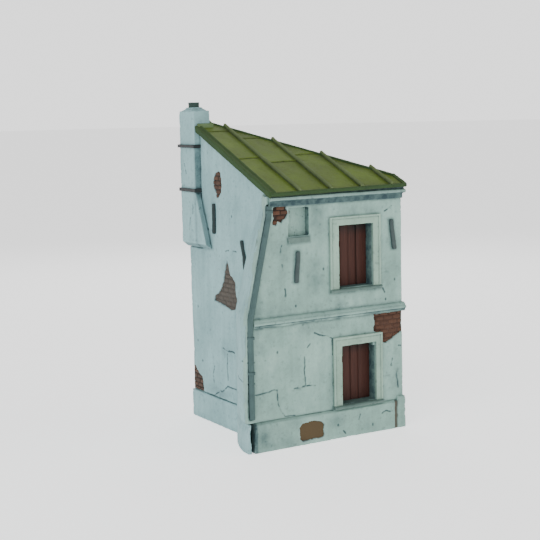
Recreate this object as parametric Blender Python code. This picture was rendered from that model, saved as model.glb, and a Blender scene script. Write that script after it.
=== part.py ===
"""A 28 mm scale corner house for the games table: a triangular two-storey house with rendered
walls, a chimney corbelled out of the gable and a sheet-metal roof that lifts off.

Lengths are in millimetres. The house is drawn from its own corner: x runs along the facade from
the gable wall's outer face, y runs back from the facade's face, and z is up from the table. The
last step moves everything so that the origin is under the middle of the whole model.
"""

import math

import bmesh
import bpy
from mathutils import Vector

MM = 0.001
GAP = 0.3  # clearance between neighbouring pieces
OVERRUN = 1.0  # how far a cutter reaches past the face that it opens

# Plan
HOUSE_WIDTH = 59.4  # facade, gable face to right end
GABLE_DEPTH = 66.5  # gable wall, facade to the rear of the pier under the chimney
REAR_SUM = 65.0  # the diagonal rear wall's outer face is the line x + y = this
WALL = 4.8
DIAGONAL = math.sqrt(2)  # a thickness across the diagonal wall, measured along x or y
PLINTH_TOP = 11.2
PLINTH_EDGE = 10.6
PLINTH_FRONT_PROUD = 1.0
PLINTH_SIDE_PROUD = 0.6
PLINTH_CORNER_FRONT = -0.9
WALL_FOOT = PLINTH_TOP + GAP
FRONT_HEAD = 95.9
FRONT_HEAD_RAISED = (96.6, -1.0)  # height under the roof's deck, and the x where that starts
FRONT_BACK = WALL + GAP  # where the pieces behind the facade start

# The sloping wing at the facade's left end: x of its edge at each height, and how far back it runs
WING_EDGE = ((0.0, -13.0), (50.9, -11.2), (89.2, -2.8), (96.0, -2.3))
WING_REACH = ((0.0, 28.8), (50.9, 28.8), (89.2, 6.0))
WING_TOP = 84.0
WING_BULGE = 0.17  # bulge of the wing's side, as a share of its width
WING_STEPS = 5

# Roof: height of the sheet above the gable corner, rise per mm back and rise per mm to the right
ROOF_HEIGHT = 97.9
ROOF_PITCH = 0.416
ROOF_LEAN = 0.009
DECK_THICKNESS = 0.7
ROOF_LEFT = -1.2
ROOF_RIGHT = 59.6
ROOF_FRONT = -1.6
ROOF_BACK_SUM = 65.2  # the deck's diagonal rear edge is the line x + y = this
TRIM = 0.6
SEAM_FIRST = 11.4
SEAM_PITCH = 14.07
SEAM_COUNT = 4
SEAM_WIDTH = 0.9
SEAM_HEIGHT = 1.35
FASCIA_DROP = 1.8
BATTEN_WIDTH = 2.0
BATTEN_DEPTH = 3.0
BATTEN_CLEARANCE = 0.6  # between a batten and the wall it sits against
CHIMNEY_CLEARANCE = 0.4  # between the roof and the stack that it lifts past
FLASHING_WIDTH = 0.7
FLASHING_HEIGHT = 1.5
FLASHING_REAR = 2.0  # how far the flashing stops short of the deck's rear corner

# Chimney
STACK_X = (-2.7, WALL)
STACK_Y = (55.1, 67.9)
STACK_FOOT = 72.0
STACK_SPLIT = 95.0
STACK_TOP = 127.5
FLARE_FRONT = 46.6
FLARE_TOP = 94.5
FLARE_OVERLAP = (0.1, 2.0)  # how far the flare runs into the stack, at its top and at its back
UNDERSIDE_RISE = 2.0
STRAP_LOWER = (94.75, 96.25)
STRAP_UPPER = (112.7, 113.9)
STRAP_THICKNESS = 0.5
POT_RADIUS = 2.25
POT_BORE = 1.5
POT_HEIGHT = 2.1
POT_FLOOR = 0.5
ROUND_SIDES = 24
FLAUNCHING_HEIGHT = 0.7
FLAUNCHING_FOOT = (3.2, 4.6)  # half its size along x and y
FLAUNCHING_TOP = (2.4, 2.6)

# Openings, as (left, right, bottom, top)
UPPER_WINDOW = (29.4, 45.5, 58.8, 83.1)
LOWER_WINDOW = (30.1, 46.4, 12.9, 36.2)
UPPER_SURROUND = (25.5, 48.9, 86.4)  # left, right, top
LOWER_SURROUND = (26.4, 49.2, 39.6)
BLIND_WINDOW = (6.9, 16.4, 80.4, 91.2)
BLIND_DEPTH = 2.9
BLIND_SILL = (78.0, 80.0)
CELLAR_VENT = (9.8, 21.3, 1.8, 8.3)
UPPER_PLANKS = (28.4, 32.9, 37.0, 41.1, 46.5)  # edges of the planks, from the left
LOWER_PLANKS = (29.1, 33.4, 37.4, 41.2, 47.4)
PLANK_THICKNESS = 1.0
PLANK_MARGIN = 1.0  # how far the planks reach past the opening, behind the wall
SURROUND_THICKNESS = 0.5
SILL_PROUD = 1.5
SILL_HEIGHT = 1.2

# Mouldings
STRING_ENDS = (-7.9, 60.4)
STRING_PROFILE = ((-GAP, 47.2), (-1.1, 47.6), (-1.5, 48.3), (-1.5, 49.2), (-1.2, 49.7), (-GAP, 50.6))
CORNICE_ENDS = (-1.0, 60.6)
CORNICE_PROFILE = ((-GAP, 92.3), (-0.9, 92.3), (-0.9, 94.0), (-1.4, 94.3), (-1.4, 95.3), (-GAP, 95.5))

# Places where the render is lost, as outlines on the wall's face
POCKET_DEPTH = 1.0
POCKET_MARGIN = 0.48  # clearance round a patch at its corners, a little less along its sides
BRICK_THICKNESS = 0.5
BRICK_FACADE_CORNER = ((0.9, 85.9), (2.6, 86.4), (6.2, 87.0), (6.7, 91.0), (5.6, 91.9), (0.9, 91.9))
BRICK_FACADE_RIGHT = (
    (46.0, 40.2), (48.1, 39.2), (49.2, 35.6), (52.5, 35.5), (56.9, 37.4), (59.1, 38.8),
    (59.1, 46.8), (46.0, 46.6),
)
BRICK_GABLE_TOP = ((40.9, 103.6), (38.2, 101.6), (38.4, 96.4), (42.4, 93.6), (44.6, 98.1), (44.4, 101.4))
BRICK_GABLE_MIDDLE = (
    (35.7, 68.6), (33.5, 66.4), (31.0, 62.4), (29.4, 60.6), (29.4, 52.4), (31.6, 49.1),
    (38.6, 50.0), (46.4, 50.6), (45.6, 54.5), (41.2, 56.8), (38.0, 60.8), (37.1, 66.1),
)
BRICK_GABLE_FOOT = ((65.0, 23.0), (62.7, 19.8), (60.6, 18.4), (58.6, 15.4), (58.0, 12.0), (65.0, 12.0))

# Iron wall anchors: middle of the top, middle of the foot, on the wall's face
ANCHOR_WIDTH = 2.0
ANCHOR_THICKNESS = 0.6
FRONT_ANCHORS = {
    "wall_anchor_front_left": ((10.7, 74.6), (9.9, 62.8)),
    "wall_anchor_front_right": ((54.2, 83.8), (55.5, 72.2)),
}
GABLE_ANCHORS = {
    "wall_anchor_gable_rear": ((44.4, 90.6), (44.8, 78.7)),
    "wall_anchor_gable_front": ((22.4, 77.6), (20.6, 66.5)),
}

# Downpipe: its middle line on the facade, top to bottom
PIPE_RADIUS = 1.05
PIPE_Y = -0.6
PIPE_LINE = ((-1.5, 92.0), (-1.6, 88.6), (-10.4, 51.2), (-10.6, 46.0), (-10.7, 13.6))
PIPE_SIDES = 12
COLLAR_THICKNESS = 0.45
COLLAR_HEIGHT = 1.2
COLLAR_STEPS = 8
COLLARS = {"pipe_collar_top": (-1.55, 90.4), "pipe_collar_middle": (-10.6, 44.0),
           "pipe_collar_bottom": (-10.65, 30.8)}
# Wedge-shaped slot in the plinth below the pipe: half its width at the top and at the foot
SLOT_MIDDLE = -10.6
SLOT_TOP_HALF = 1.25
SLOT_FOOT_HALF = 0.55
SLOT_FRONT = -3.0
SLOT_SPLIT = 0.1  # the courses on either side are drawn this far from its middle, then cut back to it

COLOURS = {
    "render": (0.40, 0.49, 0.48, 0.85, 0.0),
    "moulding": (0.32, 0.41, 0.41, 0.8, 0.0),
    "stone": (0.36, 0.45, 0.45, 0.85, 0.0),
    "sheet": (0.14, 0.17, 0.05, 0.6, 0.0),
    "trim": (0.09, 0.13, 0.07, 0.6, 0.0),
    "brick": (0.14, 0.07, 0.045, 0.9, 0.0),
    "planks": (0.13, 0.035, 0.025, 0.7, 0.0),
    "iron": (0.05, 0.08, 0.09, 0.6, 0.3),
    "pipe": (0.13, 0.19, 0.19, 0.6, 0.0),
    "pot": (0.09, 0.12, 0.12, 0.8, 0.0),
}


def clear_scene():
    """Remove whatever the open file holds."""
    for existing in list(bpy.data.objects):
        bpy.data.objects.remove(existing, do_unlink=True)


def material(finish):
    """The named finish, made once and then shared."""
    found = bpy.data.materials.get(finish)
    if found:
        return found
    red, green, blue, roughness, metallic = COLOURS[finish]
    made = bpy.data.materials.new(finish)
    made.use_nodes = True
    shader = made.node_tree.nodes["Principled BSDF"]
    shader.inputs["Base Color"].default_value = (red, green, blue, 1.0)
    shader.inputs["Roughness"].default_value = roughness
    shader.inputs["Metallic"].default_value = metallic
    return made


def add_mesh(name, build, finish=None):
    """Add a named object whose mesh the build function fills in, in millimetres.

    A piece without a finish is a cutter, which stays out of the model.
    """
    mesh = bpy.data.meshes.new(name)
    shape = bmesh.new()
    build(shape)
    bmesh.ops.recalc_face_normals(shape, faces=shape.faces)
    bmesh.ops.scale(shape, vec=(MM, MM, MM), verts=shape.verts)
    shape.to_mesh(mesh)
    shape.free()
    piece = bpy.data.objects.new(name, mesh)
    bpy.context.collection.objects.link(piece)
    if finish:
        mesh.materials.append(material(finish))
    else:
        piece.hide_render = True
        piece.display_type = "WIRE"
    return piece


def bridge(shape, lower, upper):
    """Close the space between two rings of points that match one to one."""
    low = [shape.verts.new(point) for point in lower]
    high = [shape.verts.new(point) for point in upper]
    shape.faces.new(low)
    shape.faces.new(high)
    for index in range(len(low)):
        following = (index + 1) % len(low)
        shape.faces.new((low[index], low[following], high[following], high[index]))


def column(name, outline, bottom, top, finish=None):
    """A piece with a plan outline, from one height to another.

    Each height is a number, or a function of x and y.
    """
    def height(level, x, y):
        return level(x, y) if callable(level) else level

    def build(shape):
        lower = [(x, y, height(bottom, x, y)) for x, y in outline]
        upper = [(x, y, height(top, x, y)) for x, y in outline]
        bridge(shape, lower, upper)

    return add_mesh(name, build, finish)


def front_prism(name, outline, near, far, finish=None):
    """An outline seen from the front, as (x, z), carried from one depth to another."""
    def build(shape):
        bridge(shape, [(x, near, z) for x, z in outline], [(x, far, z) for x, z in outline])

    return add_mesh(name, build, finish)


def side_prism(name, outline, left, right, finish=None):
    """An outline seen from the gable side, as (y, z), carried from one x to another."""
    def build(shape):
        bridge(shape, [(left, y, z) for y, z in outline], [(right, y, z) for y, z in outline])

    return add_mesh(name, build, finish)


def rectangle(left, right, bottom, top):
    """Corners of an upright rectangle."""
    return [(left, bottom), (right, bottom), (right, top), (left, top)]


def block(name, x_range, y_range, z_range, finish=None):
    """A plain rectangular block."""
    return column(name, rectangle(*x_range, *y_range), *z_range, finish)


def cut(piece, cutter):
    """Take the cutter's shape out of the piece."""
    boolean = piece.modifiers.new(cutter.name, "BOOLEAN")
    boolean.operation = "DIFFERENCE"
    boolean.solver = "EXACT"
    boolean.object = cutter


def interpolate(table, height):
    """Read a value at a height from pairs of height and value."""
    for (low, low_value), (high, high_value) in zip(table, table[1:]):
        if height <= high:
            share = (height - low) / (high - low)
            return low_value + share * (high_value - low_value)
    return table[-1][1]


def roof_surface(offset):
    """The roof's sloping surface, raised by an offset, as a function of x and y."""
    def height(x, y):
        return ROOF_HEIGHT + ROOF_PITCH * y + ROOF_LEAN * x + offset

    return height


def wall_head():
    """The surface that the tall walls stop at, just under the deck."""
    return roof_surface(-DECK_THICKNESS - GAP)


def grown(outline, margin):
    """An outline pushed out from its own middle by about the margin."""
    middle = Vector((sum(p[0] for p in outline), sum(p[1] for p in outline))) / len(outline)
    result = []
    for point in outline:
        away = Vector(point) - middle
        result.append(tuple(middle + away * (1 + margin / away.length)))
    return result


def wing_side(height, first_y):
    """Points along the wing's curved side at one height, from first_y to where it dies out."""
    edge = interpolate(WING_EDGE, height)
    reach = interpolate(WING_REACH, height)
    points = []
    for step in range(WING_STEPS + 1):
        y = first_y + (reach - first_y) * step / WING_STEPS
        share = y / reach
        x = edge * (1 - share) + 4 * WING_BULGE * edge * share * (1 - share)
        points.append((min(x, -GAP), y))
    return points


def make_front_wall():
    """Facade slab with its swept left edge and its window openings."""
    heights = [WALL_FOOT] + [z for z, _ in WING_EDGE[1:-1]] + [FRONT_HEAD]
    edge = [(interpolate(WING_EDGE, z), z) for z in heights]
    raised, start = FRONT_HEAD_RAISED
    head = [(HOUSE_WIDTH, raised), (start, raised), (start, FRONT_HEAD)]
    outline = [(HOUSE_WIDTH, WALL_FOOT)] + head + edge[::-1]
    wall = front_prism("front_wall", outline, 0.0, WALL, "render")
    for label, opening in (("upper", UPPER_WINDOW), ("lower", LOWER_WINDOW)):
        cut(wall, front_prism(f"cut_{label}_window", rectangle(*opening), -OVERRUN, WALL + OVERRUN))
    recess = BLIND_DEPTH + GAP + BRICK_THICKNESS + GAP
    cut(wall, front_prism("cut_blind_window", rectangle(*BLIND_WINDOW), -OVERRUN, recess))
    cut(wall, make_pipe("cut_pipe_chase", PIPE_RADIUS + GAP, OVERRUN))
    return wall


def make_gable_wall():
    """Left wall, whose head follows the roof and which carries the chimney."""
    wall = column("left_wall", rectangle(0.0, WALL, FRONT_BACK, GABLE_DEPTH), WALL_FOOT, wall_head(),
                  "render")
    notch = block("cut_chimney_seat", (-OVERRUN, WALL + OVERRUN),
                  (STACK_Y[0] - GAP, GABLE_DEPTH + OVERRUN), (STACK_FOOT - GAP, STACK_TOP))
    cut(wall, notch)
    return wall


def diagonal_band(outer_sum, right):
    """Plan of a diagonal wall between the gable wall and the facade."""
    start = WALL + GAP
    inner_sum = REAR_SUM - WALL * DIAGONAL
    return [(start, outer_sum - start), (start, inner_sum - start), (inner_sum - FRONT_BACK, FRONT_BACK),
            (right, FRONT_BACK), (right, outer_sum - right)]


def make_back_wall():
    """Diagonal rear wall, from the chimney to the facade's right end."""
    outline = diagonal_band(REAR_SUM, HOUSE_WIDTH)
    column("back_wall", outline, WALL_FOOT, wall_head(), "render")


def make_buttress():
    """Sloping wing that props the facade's left end against the gable wall."""
    def section(height):
        points = wing_side(height, FRONT_BACK)
        return [(-GAP, FRONT_BACK, height)] + [(x, y, height) for x, y in points]

    def build(shape):
        rings = [[shape.verts.new(point) for point in section(height)]
                 for height in (WALL_FOOT, WING_EDGE[1][0], WING_TOP)]
        shape.faces.new(rings[0])
        shape.faces.new(rings[-1])
        for lower, upper in zip(rings, rings[1:]):
            for index in range(len(lower)):
                following = (index + 1) % len(lower)
                shape.faces.new((lower[index], lower[following], upper[following], upper[index]))

    add_mesh("corner_buttress", build, "render")


def make_plinth():
    """Base courses, with the slot that takes the downpipe's water."""
    foot = SLOT_FOOT_HALF
    slot_outline = [(SLOT_MIDDLE - foot, -OVERRUN), (SLOT_MIDDLE + foot, -OVERRUN),
                    (SLOT_MIDDLE + SLOT_TOP_HALF, PLINTH_TOP + OVERRUN),
                    (SLOT_MIDDLE - SLOT_TOP_HALF, PLINTH_TOP + OVERRUN)]
    slot = front_prism("cut_plinth_slot", slot_outline, SLOT_FRONT, WALL)
    left = SLOT_MIDDLE + SLOT_SPLIT
    right = HOUSE_WIDTH + PLINTH_SIDE_PROUD
    profile = [(-PLINTH_FRONT_PROUD, 0.0), (WALL, 0.0), (WALL, PLINTH_TOP),
               (0.0, PLINTH_TOP), (-PLINTH_FRONT_PROUD, PLINTH_EDGE)]
    front = side_prism("plinth_front", profile, left, right, "stone")
    cut(front, slot)
    vent_pocket = front_prism("cut_cellar_vent", rectangle(*CELLAR_VENT),
                              -PLINTH_FRONT_PROUD - OVERRUN, -PLINTH_FRONT_PROUD + POCKET_DEPTH)
    cut(front, vent_pocket)

    side = wing_side(0.0, PLINTH_CORNER_FRONT)
    beside_slot = SLOT_MIDDLE - SLOT_SPLIT
    corner_outline = [(beside_slot, PLINTH_CORNER_FRONT), (beside_slot, FRONT_BACK), (-GAP, FRONT_BACK)]
    corner = column("plinth_corner", corner_outline + side[::-1], 0.0, PLINTH_TOP, "stone")
    cut(corner, slot)

    proud = PLINTH_SIDE_PROUD
    rear = GABLE_DEPTH + proud
    reach = WING_REACH[0][1] + GAP
    left_outline = [(0.0, FRONT_BACK), (WALL, FRONT_BACK), (WALL, rear), (-proud, rear),
                    (-proud, reach), (0.0, reach)]
    column("plinth_left", left_outline, 0.0, PLINTH_TOP, "stone")
    back_outline = diagonal_band(REAR_SUM + proud * DIAGONAL, right)
    column("plinth_back", back_outline, 0.0, PLINTH_TOP, "stone")

    left, right, bottom, top = CELLAR_VENT
    panel = rectangle(left + GAP, right - GAP, bottom + GAP, top - GAP)
    back = -PLINTH_FRONT_PROUD + POCKET_DEPTH - GAP
    front_prism("cellar_vent_panel", panel, back - BRICK_THICKNESS, back, "brick")


def make_mouldings():
    """String course between the storeys and cornice under the eaves."""
    side_prism("string_course", STRING_PROFILE, *STRING_ENDS, "moulding")
    side_prism("cornice", CORNICE_PROFILE, *CORNICE_ENDS, "moulding")


def make_window(label, opening, surround, plank_edges):
    """Raised surround, sill and closed planks of one window."""
    left, right, bottom, top = opening
    outer_left, outer_right, outer_top = surround
    band = [(outer_left, bottom), (left, bottom), (left, top), (right, top), (right, bottom),
            (outer_right, bottom), (outer_right, outer_top), (outer_left, outer_top)]
    front_prism(f"{label}_window_surround", band, -GAP - SURROUND_THICKNESS, -GAP, "moulding")
    block(f"{label}_window_sill", (outer_left - GAP, outer_right + GAP), (-SILL_PROUD, -GAP),
          (bottom - GAP - SILL_HEIGHT, bottom - GAP), "moulding")
    depth = (FRONT_BACK, FRONT_BACK + PLANK_THICKNESS)
    for index, (start, end) in enumerate(zip(plank_edges, plank_edges[1:])):
        block(f"{label}_shutter_plank_{index + 1}", (start, end - GAP), depth,
              (bottom - PLANK_MARGIN, top + PLANK_MARGIN), "planks")


def make_blind_window():
    """Panel at the back of the blocked window and the band under it."""
    left, right, bottom, top = BLIND_WINDOW
    panel = rectangle(left + GAP, right - GAP, bottom + GAP, top - GAP)
    front_prism("blind_window_panel", panel, BLIND_DEPTH, BLIND_DEPTH + BRICK_THICKNESS, "stone")
    block("blind_window_sill", (left - GAP, right), (-SILL_PROUD / 2, -GAP), BLIND_SILL, "moulding")


def make_brick_patches(front_wall, gable_wall):
    """Brick that shows through the render, each let into its own pocket."""
    front_face = POCKET_DEPTH - GAP - BRICK_THICKNESS
    back_face = POCKET_DEPTH - GAP
    on_facade = {"brick_patch_facade_corner": BRICK_FACADE_CORNER,
                 "brick_patch_facade_right": BRICK_FACADE_RIGHT}
    for name, outline in on_facade.items():
        cut(front_wall, front_prism(f"cut_{name}", grown(outline, POCKET_MARGIN), -OVERRUN, POCKET_DEPTH))
        front_prism(name, outline, front_face, back_face, "brick")
    on_gable = {"brick_patch_gable_top": BRICK_GABLE_TOP,
                "brick_patch_gable_middle": BRICK_GABLE_MIDDLE,
                "brick_patch_gable_foot": BRICK_GABLE_FOOT}
    for name, outline in on_gable.items():
        cut(gable_wall, side_prism(f"cut_{name}", grown(outline, POCKET_MARGIN), -OVERRUN, POCKET_DEPTH))
        side_prism(name, outline, front_face, back_face, "brick")


def leaning_bar(ends):
    """Outline of a bar of the anchors' width between two points."""
    (top_u, top_z), (foot_u, foot_z) = ends
    half = ANCHOR_WIDTH / 2
    return [(foot_u - half, foot_z), (foot_u + half, foot_z), (top_u + half, top_z), (top_u - half, top_z)]


def make_wall_anchors():
    """Iron plates on the ends of the tie rods."""
    near = -GAP - ANCHOR_THICKNESS
    for name, ends in FRONT_ANCHORS.items():
        front_prism(name, leaning_bar(ends), near, -GAP, "iron")
    for name, ends in GABLE_ANCHORS.items():
        side_prism(name, leaning_bar(ends), near, -GAP, "iron")


def make_chimney():
    """Corbel, stack, mortar flaunching, pot and the two iron straps."""
    corbel = block("chimney_corbel", STACK_X, STACK_Y, (STACK_FOOT, STACK_SPLIT), "render")
    top_overlap, back_overlap = FLARE_OVERLAP
    flare_back = STACK_Y[0] + back_overlap
    flare_outline = [(FLARE_FRONT, STACK_FOOT), (flare_back, STACK_FOOT), (flare_back, FLARE_TOP),
                     (STACK_Y[0] + top_overlap, FLARE_TOP)]
    flare = side_prism("add_flare", flare_outline, STACK_X[0], -GAP)
    union = corbel.modifiers.new("flare", "BOOLEAN")
    union.operation = "UNION"
    union.solver = "EXACT"
    union.object = flare
    left = STACK_X[0] - OVERRUN
    below = STACK_FOOT - OVERRUN
    slope = [(left, STACK_FOOT + UNDERSIDE_RISE * left / STACK_X[0]), (left, below), (-GAP, below),
             (-GAP, STACK_FOOT)]
    cut(corbel, front_prism("cut_underside", slope, FLARE_FRONT - OVERRUN, STACK_Y[1] + OVERRUN))

    block("chimney_stack", STACK_X, STACK_Y, (STACK_SPLIT + GAP, STACK_TOP), "render")
    for name, (low, high) in (("chimney_strap_lower", STRAP_LOWER), ("chimney_strap_upper", STRAP_UPPER)):
        column(name, strap_outline(), low, high, "iron")

    middle_x = sum(STACK_X) / 2
    middle_y = sum(STACK_Y) / 2
    base = STACK_TOP + GAP
    make_flaunching(middle_x, middle_y, base)
    pot_foot = base + FLAUNCHING_HEIGHT + GAP
    pot = column("chimney_pot", circle(middle_x, middle_y, POT_RADIUS), pot_foot,
                 pot_foot + POT_HEIGHT, "pot")
    bore = column("cut_pot_bore", circle(middle_x, middle_y, POT_BORE), pot_foot + POT_FLOOR,
                  pot_foot + POT_HEIGHT + OVERRUN)
    cut(pot, bore)


def strap_outline():
    """Plan of a strap that goes round the stack's three free sides."""
    inner_left = STACK_X[0] - GAP
    outer_left = inner_left - STRAP_THICKNESS
    inner_front = STACK_Y[0] - GAP
    outer_front = inner_front - STRAP_THICKNESS
    inner_back = STACK_Y[1] + GAP
    outer_back = inner_back + STRAP_THICKNESS
    return [(-GAP, outer_front), (-GAP, inner_front), (inner_left, inner_front),
            (inner_left, inner_back), (STACK_X[1], inner_back), (STACK_X[1], outer_back),
            (outer_left, outer_back), (outer_left, outer_front)]


def circle(x, y, radius, sides=ROUND_SIDES):
    """Points round a circle in plan."""
    turn = 2 * math.pi / sides
    return [(x + radius * math.cos(turn * i), y + radius * math.sin(turn * i)) for i in range(sides)]


def make_flaunching(x, y, base):
    """Sloped mortar bed that holds the pot."""
    def ring(half_size, height):
        half_x, half_y = half_size
        return [(x + u * half_x, y + v * half_y, height) for u, v in ((-1, -1), (1, -1), (1, 1), (-1, 1))]

    def build(shape):
        bridge(shape, ring(FLAUNCHING_FOOT, base), ring(FLAUNCHING_TOP, base + FLAUNCHING_HEIGHT))

    add_mesh("chimney_flaunching", build, "stone")


def make_pipe(name, radius, extra, finish=None):
    """The downpipe's round form along its line, lengthened by extra at both ends."""
    line = list(PIPE_LINE)
    line[0] = (line[0][0], line[0][1] + extra)
    line[-1] = (line[-1][0], line[-1][1] - extra)

    def build(shape):
        rings = []
        for x, z in line:
            ring = [shape.verts.new((cx, cy, z)) for cx, cy in circle(x, PIPE_Y, radius, PIPE_SIDES)]
            rings.append(ring)
        shape.faces.new(rings[0])
        shape.faces.new(rings[-1])
        for upper, lower in zip(rings, rings[1:]):
            for index in range(PIPE_SIDES):
                following = (index + 1) % PIPE_SIDES
                shape.faces.new((upper[index], upper[following], lower[following], lower[index]))

    return add_mesh(name, build, finish)


def make_downpipe():
    """Downpipe and the collars that hold it."""
    make_pipe("downpipe", PIPE_RADIUS, 0.0, "pipe")
    inner = PIPE_RADIUS + GAP
    outer = inner + COLLAR_THICKNESS
    for name, (x, z) in COLLARS.items():
        turns = [math.pi * (1 + step / COLLAR_STEPS) for step in range(COLLAR_STEPS + 1)]
        outside = [(x + outer * math.cos(t), PIPE_Y + outer * math.sin(t)) for t in turns]
        inside = [(x + inner * math.cos(t), PIPE_Y + inner * math.sin(t)) for t in reversed(turns)]
        legs_out = [(x - outer, -GAP)] + outside + [(x + outer, -GAP)]
        legs_in = [(x + inner, -GAP)] + inside + [(x - inner, -GAP)]
        column(name, legs_out + legs_in, z - COLLAR_HEIGHT / 2, z + COLLAR_HEIGHT / 2, "pipe")


def make_roof():
    """The lift-off roof: deck, seams, edge trims, flashing and the battens that locate it."""
    notch_x = STACK_X[1] + CHIMNEY_CLEARANCE
    notch_y = STACK_Y[0] - CHIMNEY_CLEARANCE
    back = ROOF_BACK_SUM
    deck = [(ROOF_LEFT, ROOF_FRONT), (ROOF_RIGHT, ROOF_FRONT), (ROOF_RIGHT, back - ROOF_RIGHT),
            (notch_x, back - notch_x), (notch_x, notch_y), (ROOF_LEFT, notch_y)]
    column("roof_deck", deck, roof_surface(-DECK_THICKNESS), roof_surface(0.0), "sheet")
    for index in range(SEAM_COUNT):
        make_seam(f"roof_seam_{index + 1}", SEAM_FIRST + index * SEAM_PITCH)

    front_edge = ROOF_FRONT - GAP - TRIM
    edge_low = roof_surface(-FASCIA_DROP)
    edge_high = roof_surface(SEAM_HEIGHT)
    verge_x = (ROOF_LEFT - GAP - TRIM, ROOF_LEFT - GAP)
    column("verge_left", rectangle(*verge_x, front_edge, notch_y), edge_low, edge_high, "trim")
    verge_x = (ROOF_RIGHT + GAP, ROOF_RIGHT + GAP + TRIM)
    column("verge_right", rectangle(*verge_x, front_edge, back - ROOF_RIGHT), roof_surface(-DECK_THICKNESS),
           roof_surface(SEAM_HEIGHT / 2), "trim")
    eaves = rectangle(ROOF_LEFT, ROOF_RIGHT, front_edge, ROOF_FRONT - GAP)
    column("eaves_trim", eaves, roof_surface(-DECK_THICKNESS), roof_surface(GAP), "trim")
    near, far = back + GAP * DIAGONAL, back + (GAP + TRIM) * DIAGONAL
    rear = [(notch_x, near - notch_x), (ROOF_RIGHT, near - ROOF_RIGHT),
            (ROOF_RIGHT, far - ROOF_RIGHT), (notch_x, far - notch_x)]
    column("back_edge_trim", rear, roof_surface(-DECK_THICKNESS), roof_surface(GAP), "trim")

    outer_x, outer_y = notch_x + FLASHING_WIDTH, notch_y - FLASHING_WIDTH
    rear_y = back - notch_x - FLASHING_REAR
    flashing = [(ROOF_LEFT, outer_y), (outer_x, outer_y), (outer_x, rear_y), (notch_x, rear_y),
                (notch_x, notch_y), (ROOF_LEFT, notch_y)]
    column("chimney_flashing", flashing, roof_surface(GAP), roof_surface(GAP + FLASHING_HEIGHT), "trim")
    make_battens()


def make_seam(name, x):
    """One standing seam, cut off along the roof's diagonal rear edge."""
    left, right = x - SEAM_WIDTH / 2, x + SEAM_WIDTH / 2
    end = ROOF_BACK_SUM - GAP
    outline = [(left, ROOF_FRONT), (right, ROOF_FRONT), (right, end - right), (left, end - left)]
    column(name, outline, roof_surface(GAP), roof_surface(SEAM_HEIGHT), "sheet")


def make_battens():
    """Three battens under the deck that drop between the walls and stop the roof sliding."""
    top = roof_surface(-DECK_THICKNESS - GAP)
    low = roof_surface(-DECK_THICKNESS - GAP - BATTEN_DEPTH)
    near = WALL + BATTEN_CLEARANCE
    far = near + BATTEN_WIDTH
    outer_sum = REAR_SUM - near * DIAGONAL
    inner_sum = REAR_SUM - far * DIAGONAL
    front_end = inner_sum - far - GAP
    column("roof_batten_front", rectangle(near, front_end, near, far), low, top, "trim")
    start = far + GAP
    column("roof_batten_gable", rectangle(near, far, start, inner_sum - far), low, top, "trim")
    rear = [(start, inner_sum - start), (inner_sum - start, start), (outer_sum - start, start),
            (start, outer_sum - start)]
    column("roof_batten_rear", rear, low, top, "trim")


def centre_on_base():
    """Move every mesh so that the origin is under the middle of the model."""
    bpy.context.view_layer.update()
    pieces = [piece for piece in bpy.data.objects if piece.type == "MESH" and not piece.hide_render]
    corners = [Vector(corner) for piece in pieces for corner in piece.bound_box]
    low = Vector([min(corner[axis] for corner in corners) for axis in range(3)])
    high = Vector([max(corner[axis] for corner in corners) for axis in range(3)])
    shift = Vector((-(low.x + high.x) / 2, -(low.y + high.y) / 2, -low.z))
    for piece in bpy.data.objects:
        piece.location = shift


def main():
    clear_scene()
    front_wall = make_front_wall()
    gable_wall = make_gable_wall()
    make_back_wall()
    make_buttress()
    make_plinth()
    make_mouldings()
    make_window("upper", UPPER_WINDOW, UPPER_SURROUND, UPPER_PLANKS)
    make_window("lower", LOWER_WINDOW, LOWER_SURROUND, LOWER_PLANKS)
    make_blind_window()
    make_brick_patches(front_wall, gable_wall)
    make_wall_anchors()
    make_chimney()
    make_downpipe()
    make_roof()
    centre_on_base()


main()
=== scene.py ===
"""Looks of a 28 mm scale corner house for the games table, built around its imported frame.

House coordinates are in millimetres from the house's own corner: x runs along the facade from the
gable's face, y runs back from the facade's face, and z is up from the table. The frame's own
coordinates are in metres.
"""

import math

import bmesh
import bpy
import numpy as np
from mathutils import Matrix, Vector
from mathutils.bvhtree import BVHTree


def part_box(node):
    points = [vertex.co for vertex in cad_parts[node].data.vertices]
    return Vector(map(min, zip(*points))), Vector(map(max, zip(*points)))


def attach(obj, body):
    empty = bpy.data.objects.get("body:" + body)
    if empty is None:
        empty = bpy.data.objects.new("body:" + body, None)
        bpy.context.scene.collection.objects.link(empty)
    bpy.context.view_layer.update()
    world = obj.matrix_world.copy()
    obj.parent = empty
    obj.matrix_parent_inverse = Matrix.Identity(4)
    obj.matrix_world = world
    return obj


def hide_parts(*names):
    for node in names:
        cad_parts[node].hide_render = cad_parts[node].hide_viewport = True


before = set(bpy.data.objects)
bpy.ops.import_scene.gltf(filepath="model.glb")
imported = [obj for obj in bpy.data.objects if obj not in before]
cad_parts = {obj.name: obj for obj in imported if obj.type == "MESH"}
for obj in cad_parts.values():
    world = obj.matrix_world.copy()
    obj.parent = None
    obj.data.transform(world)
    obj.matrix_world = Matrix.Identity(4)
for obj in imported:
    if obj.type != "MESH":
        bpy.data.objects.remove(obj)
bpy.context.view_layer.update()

bl_info = {
    "name": "Corner house finish",
    "version": (1, 0, 0),
    "blender": (4, 5, 0),
    "location": "3D View > Sidebar > House",
    "description": "Weathered render, brick, boards and sheet metal for a miniature corner house",
    "category": "Add Mesh",
}

MM = 0.001
# The house's corner in the frame: the gable's face, the facade's face and the table
CORNER = np.array([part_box("left_wall")[0].x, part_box("front_wall")[0].y, 0.0])

# Grid sizes of the finished surfaces, in mm
WALL_CELL = 0.26
FINE_CELL = 0.17

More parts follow.
